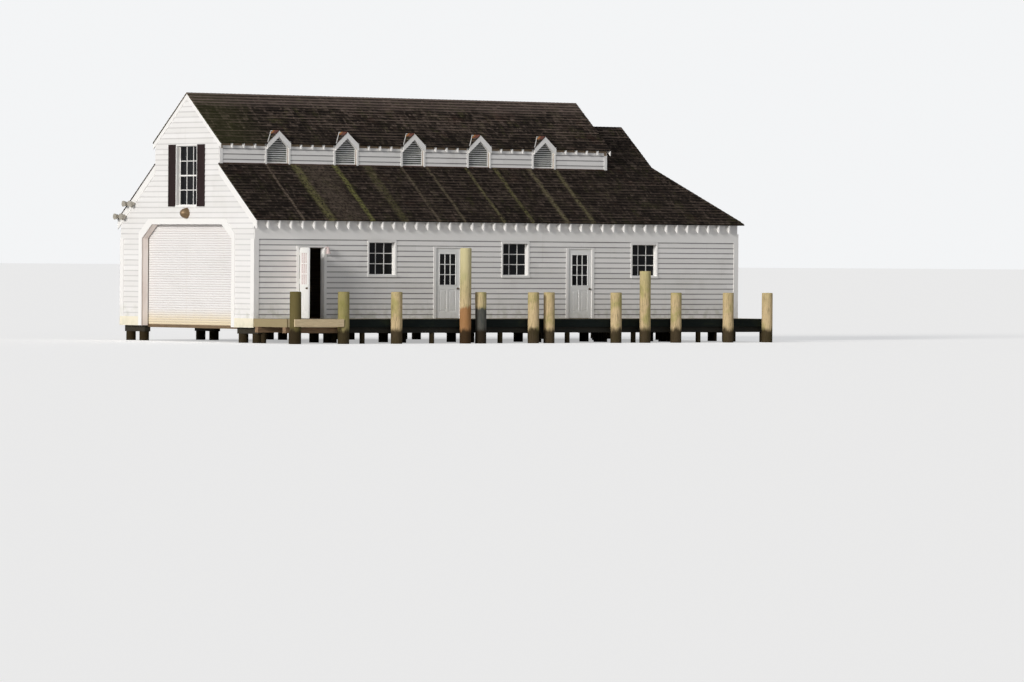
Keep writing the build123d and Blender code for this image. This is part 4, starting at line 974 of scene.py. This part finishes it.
heap = Heap()
blind = {"rail": 0.05, "recess": 0.010, "thick": 0.035, "pitch": 0.040, "slat": 0.008, "rise": 0.020}
blindMiddle = gableWindow["sill"] + gableWindow["high"] / 2
blindHigh = gableWindow["high"] + 2 * gableWindow["overlap"]
panelHigh = (blindHigh - 3 * blind["rail"]) / 2
blindOff = gableWindow["half"] + gableWindow["casing"] + gableWindow["blind"] / 2
for side in (-1, 1):
    for row in (-1, 1):
        foot = blindMiddle + row * (panelHigh + blind["rail"]) / 2 - panelHigh / 2
        middle = middleY + side * blindOff
        reach = gableWindow["blind"] / 2 - blind["rail"]
        for number in range(int(panelHigh / blind["pitch"])):
            z = foot + 0.004 + number * blind["pitch"]
            slatEdges = ((z, blind["thick"] - 0.001), (z + blind["rise"], blind["thick"] - blind["recess"]))
            heap.beam(*([onGable(middle - reach, low, out), onGable(middle + reach, low, out),
                         onGable(middle + reach, low + blind["slat"], out),
                         onGable(middle - reach, low + blind["slat"], out)] for low, out in slatEdges))
heap.piece("blind_slats", blindPaint, "blinds")

# Doors: bars and mouldings on each leaf, turned with the leaf at rest
for order, (place, angle) in enumerate(zip(doorPlaces, doorLook["rest"]), start=1):
    heap = Heap()
    turned = math.radians(angle)
    pinX, pinY = place - doorLook["hingeSide"], frontY - doorLook["hingeOut"]

    # Along the leaf, up from its foot, and in from its outer face
    def onLeaf(a, z, d, turned=turned, pinX=pinX, pinY=pinY):
        y = doorLook["hingeOut"] + d
        return (pinX + a * math.cos(turned) + y * math.sin(turned),
                pinY - a * math.sin(turned) + y * math.cos(turned), doorLook["foot"] + z)

    def leafBar(a0, a1, z0, z1, d0, d1, bevel=0.0):
        heap.beam(*([onLeaf(a0 + cut, z0 + cut, d), onLeaf(a1 - cut, z0 + cut, d),
                     onLeaf(a1 - cut, z1 - cut, d), onLeaf(a0 + cut, z1 - cut, d)]
                    for cut, d in ((0.0, d1), (bevel, d0))))

    middle = doorLook["edge"] + doorLook["leaf"] / 2
    left, wide = middle - doorLook["glassWide"] / 2, doorLook["glassWide"]
    top, high = doorLook["glassTop"], doorLook["glassHigh"]
    thick, bar, edge = doorLook["thick"], 0.011, 0.022
    right, low = left + wide, top - high
    for part in (1, 2):
        upright, level = left + wide * part / 3, top - high * part / 3
        leafBar(upright - bar, upright + bar, low, top, 0.004, thick - 0.004)
        leafBar(left, right, level - bar, level + bar, 0.005, thick - 0.005)
    for d0, d1 in ((-0.006, 0.0), (thick + 0.006, thick)):  # moulding round the glass, on both faces
        leafBar(left - edge, left, low - edge, top + edge, d0, d1, 0.003)
        leafBar(right, right + edge, low - edge, top + edge, d0, d1, 0.003)
        leafBar(left, right, top, top + edge, d0, d1, 0.003)
        leafBar(left, right, low - edge, low, d0, d1, 0.003)
    foot, crown, stile = doorLook["panelFoot"], doorLook["panelFoot"] + doorLook["panelHigh"], 0.085
    leafBar(middle - stile / 2, middle + stile / 2, foot, crown, 0.0, doorLook["recess"])
    panelWide = (wide - stile) / 2
    for side in (-1, 1):
        centre = middle + side * (stile + panelWide) / 2
        for rim, *depths in ((0.022, 0.002, doorLook["recess"], 0.030), (0.01, thick + 0.0065, thick, 0.02)):
            reach = panelWide / 2 - rim
            leafBar(centre - reach, centre + reach, foot + rim, crown - rim, *depths)
    heap.piece("door_%d_joinery" % order, doorPaint, "door_paint", "door_%d_leaf" % order)
print("boathouse: windows and doors fitted")

# Roller shutter: curved slats in place of the plain curtain
heap = Heap()
curtainLow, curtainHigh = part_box("shutter_curtain")
count = int((curtainHigh.z - curtainLow.z) / slat["pitch"])
for number in range(count):
    foot = curtainLow.z + number * slat["pitch"]
    shares = [i / slat["steps"] for i in range(slat["steps"] + 1)]
    front = [(curtainLow.x + 0.012 - slat["bulge"] * math.sin(math.pi * share) ** 0.6,
              foot + slat["pitch"] * 0.98 * share) for share in shares]
    ring = front + [(x + slat["thick"], z) for x, z in reversed(front)]
    heap.loft([[(x, y, z) for x, z in ring] for y in (curtainLow.y, curtainHigh.y)])
heap.piece("curtain_slats", shutterPaint, "shutter_metal", hides=["shutter_curtain"], smooth=50)


# Planks for the deck and the floors, with eased edges
def plank(heap, low, high, tone, lengthwise):
    ease = 0.004
    side = 1 if lengthwise == "x" else 0
    a, b, z0, z1 = low[side], high[side], low[2], high[2]
    ring = [(a + ease, z1), (b - ease, z1), (b, z1 - ease), (b, z0), (a, z0), (a, z1 - ease)]
    heap.loft([[(end[0], c, z) if side else (c, end[1], z) for c, z in ring] for end in (low, high)], tone)


planks = {"width": 0.140, "gap": 0.006, "lengths": (3.0, 4.9), "shorter": (2.2, 3.7)}


def floorBoards(heap, low, high, lengths, seed, lengthwise="x"):
    pick = random.Random(seed)
    side = 1 if lengthwise == "x" else 0
    other = 1 - side
    gap = planks["gap"]
    rows = max(1, round((high[side] - low[side]) / (planks["width"] + gap)))
    step = (high[side] - low[side]) / rows
    for row in range(rows):
        a, b = low[side] + row * step + gap / 2, low[side] + (row + 1) * step - gap / 2
        start = low[other] - pick.uniform(0, lengths[0] * 0.8)
        while start < high[other]:
            stop = start + pick.uniform(*lengths)
            c, d = max(start, low[other]), min(stop, high[other])
            if d - c > 0.05:
                one = [0, 0, low[2]]
                two = [0, 0, high[2] - pick.uniform(0, 0.0015)]
                one[side], two[side], one[other], two[other] = a, b, c + 0.001, d - 0.001
                plank(heap, one, two, pick.random(), lengthwise)
            start = stop


heap = Heap()
floorBoards(heap, *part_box("deck"), planks["lengths"], 51)
heap.piece("deck_planks", deckWood, "planks", hides=["deck"])
heap = Heap()
low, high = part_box("walkways")
slipSide = middleY - entrance["half"] - 0.07
for y0, y1 in ((low.y, slipSide), (2 * middleY - slipSide, high.y)):
    floorBoards(heap, (low.x, y0, low.z), (high.x, y1, high.z), planks["lengths"], 52)
floorBoards(heap, *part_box("end_platform"), planks["shorter"], 53, "y")
heap.piece("floor_planks", floorWood, "planks", hides=["walkways", "end_platform"])
print("boathouse: floors laid")

piles = {
    "radius": 0.170, "top": 1.48, "length": endX - gableX, "wrapped": 3, "deck": 1.600,
    "shares": (0.0095, 0.1034, 0.2085, 0.3779, 0.4857, 0.5182, 0.6579, 0.7854, 0.8977, 0.983),
    "tall": ((0.3466, 2.745, "rust"), (0.7194, 2.110, "wood")),
}
pileY = frontY - piles["deck"] - piles["radius"]


# Round piles: drawn-in logs with worn tops and shallow checks down their sides
def log(heap, x, high, seed):
    y, radius, low, segments, step, worn = pileY, piles["radius"], 0.0, 40, 0.10, 0.032
    pick = random.Random(seed)
    waves = [(pick.randint(2, 5), pick.uniform(0, math.tau), pick.uniform(0.2, 1.4),
              pick.uniform(0, math.tau), pick.uniform(0.003, 0.009)) for _ in range(5)]
    checks = [(pick.uniform(0, math.tau), pick.uniform(low + (high - low) * 0.3, high),
               pick.uniform(0.25, 0.9)) for _ in range(7)]
    knots = [(pick.uniform(0, math.tau), pick.uniform(low, high), pick.uniform(0.02, 0.05)) for _ in range(4)]
    rows = max(3, int((high - low) / step))
    levels = [low + (high - low) * row / rows for row in range(rows)]
    levels = sorted(levels + [high - drop for drop in (0.030, 0.014, 0.005)])
    slit = math.tau / segments * 0.8
    rings = []
    for z in levels:
        ring = []
        for i in range(segments):
            turn = math.tau * i / segments
            size = 0.962
            for lobes, phase, speed, drift, depth in waves:
                size += depth * math.sin(lobes * turn + phase + math.sin(z * speed + drift) * 1.3)
            for spot, crown, reach in checks:
                away = abs((turn - spot + math.pi) % math.tau - math.pi)
                if away < slit and abs(z - crown) < reach:
                    size -= 0.045 * (1 - away / slit) * (1 - abs(z - crown) / reach)
            for spot, crown, wide in knots:
                away = math.hypot(((turn - spot + math.pi) % math.tau - math.pi) * radius, z - crown)
                size += 0.030 * math.exp(-(away / wide) ** 2)
            size = min(size, 0.998)
            top = max(0.0, (z - (high - worn)) / worn)
            size -= 0.055 * top ** 2
            ring.append((x + radius * size * math.cos(turn), y + radius * size * math.sin(turn), z))
        rings.append(ring)
    last = rings[-1]
    for shrink, lift in ((0.80, 0.003), (0.45, 0.0045), (0.12, 0.005)):
        level = min(high, high - 0.005 + lift)
        rings.append([(x + (px - x) * shrink, y + (py - y) * shrink, level) for px, py, _ in last])
    heap.loft(rings)


heaps = {"wood": Heap(), "rust": Heap(), "wrap": Heap()}
for number, share in enumerate(piles["shares"]):
    kind = "wrap" if number == piles["wrapped"] else "wood"
    log(heaps[kind], gableX + share * piles["length"], piles["top"], 60 + number)
for number, (share, top, kind) in enumerate(piles["tall"]):
    log(heaps[kind], gableX + share * piles["length"], top, 80 + number)
heaps["wood"].piece("deck_pile_logs", pileWood, "piles", hides=["deck_piles"], smooth=35)
heaps["rust"].piece("stained_pile_log", rustWood, "piles", smooth=35)
heaps["wrap"].piece("wrapped_pile_log", wrapWood, "piles", smooth=35)

# Fresh finishes on the pieces that keep their solids
coats = {
    wallPaint: ["front_wall", "front_wall_header", "back_wall", "end_wall", "gable_piers", "gable_wall",
                "monitor_side_walls", "monitor_end_wall", "gablet_wall"],
    shingles: ["lower_roof_front", "lower_roof_back", "hip_roof", "upper_roof_front", "upper_roof_back",
               "dormer_roofs"],
    capRust: ["dormer_caps"],
    louvreCoatAndShade: ["dormer_louvres"],
    entrancePaintwork: ["shutter_frame"],
    guideMetal: ["shutter_guides"],
    trimPaint: ["rafter_tails", "rake_boards", "corner_boards", "frieze_boards", "window_frames",
                "door_frames"],
    creamPaint: ["skirt_boards"],
    panes: ["window_glass", "door_2_glass", "door_3_glass"],
    litPane: ["door_1_glass"],
    walerWood: ["deck_waler"],
    blindPaint: ["gable_blinds"],
    fasciaWood: ["deck_fascia"],
    beamWood: ["deck_joists", "deck_beams"],
    darkWood: ["sill_timbers", "pile_caps"],
    underWood: ["foundation_piles"],
    shutterPaint: ["shutter_drum"],
    bronze: ["shutter_bottom_bar", "dome_lamp"],
    doorPaint: ["door_1", "door_2", "door_3"],
    fadedPaint: ["door_lamp"],
    knobMetal: ["door_1_knobs", "door_2_knobs", "door_3_knobs"],
    lampMetal: ["flood_lamps"],
}
for finish, names in coats.items():
    for name in names:
        for slot in nodes[name].material_slots:
            slot.material = finish
print("boathouse: finishes given to the kept nodes")

# Pale floor that keeps the shadow, and a pale surround for what the camera and reflections see
floorMesh = bpy.data.meshes.new("floor")
reach = light["floorSize"]
floorMesh.from_pydata([(x * reach, y * reach, 0) for x, y in ((-1, -1), (1, -1), (1, 1), (-1, 1))], [],
                      [(0, 1, 2, 3)])
floor = bpy.data.objects.new("floor", floorMesh)
bpy.context.scene.collection.objects.link(floor)
floorMesh.materials.append(bpy.data.materials.new("pale_floor"))
tree = Tree(floorMesh.materials[0])
tree.tree.nodes.clear()
matte = tree.node("BsdfDiffuse", {}, {"Color": light["floorColor"]})
glow = tree.node("Emission", {}, {"Strength": tree.ray("Camera") * light["floorGlow"]})
tree.node("OutputMaterial", {}, {"Surface": tree.node("AddShader", {}, {0: matte, 1: glow})})

world = bpy.data.worlds.new("surround")
bpy.context.scene.world = world
tree = Tree(world)
tree.tree.nodes.clear()
heading = tree.node("TexCoord", {}, {}, "Generated")
climb = tree.grade(tree.node("SeparateXYZ", {}, {0: heading}, "Z"), 0.0, light["climb"])
ambient = tree.node("Background", {}, {"Color": tree.blend(climb, light["horizon"], light["zenith"])})
backdrop = tree.node("Background", {}, {"Color": light["backdrop"]})
reflected = tree.maths("MAXIMUM", tree.ray("Glossy"), tree.ray("Transmission"))
seen = tree.maths("MAXIMUM", tree.ray("Camera"), reflected)
tree.node("OutputWorld", {}, {"Surface": tree.node("MixShader", {}, {0: seen, 1: ambient, 2: backdrop})})
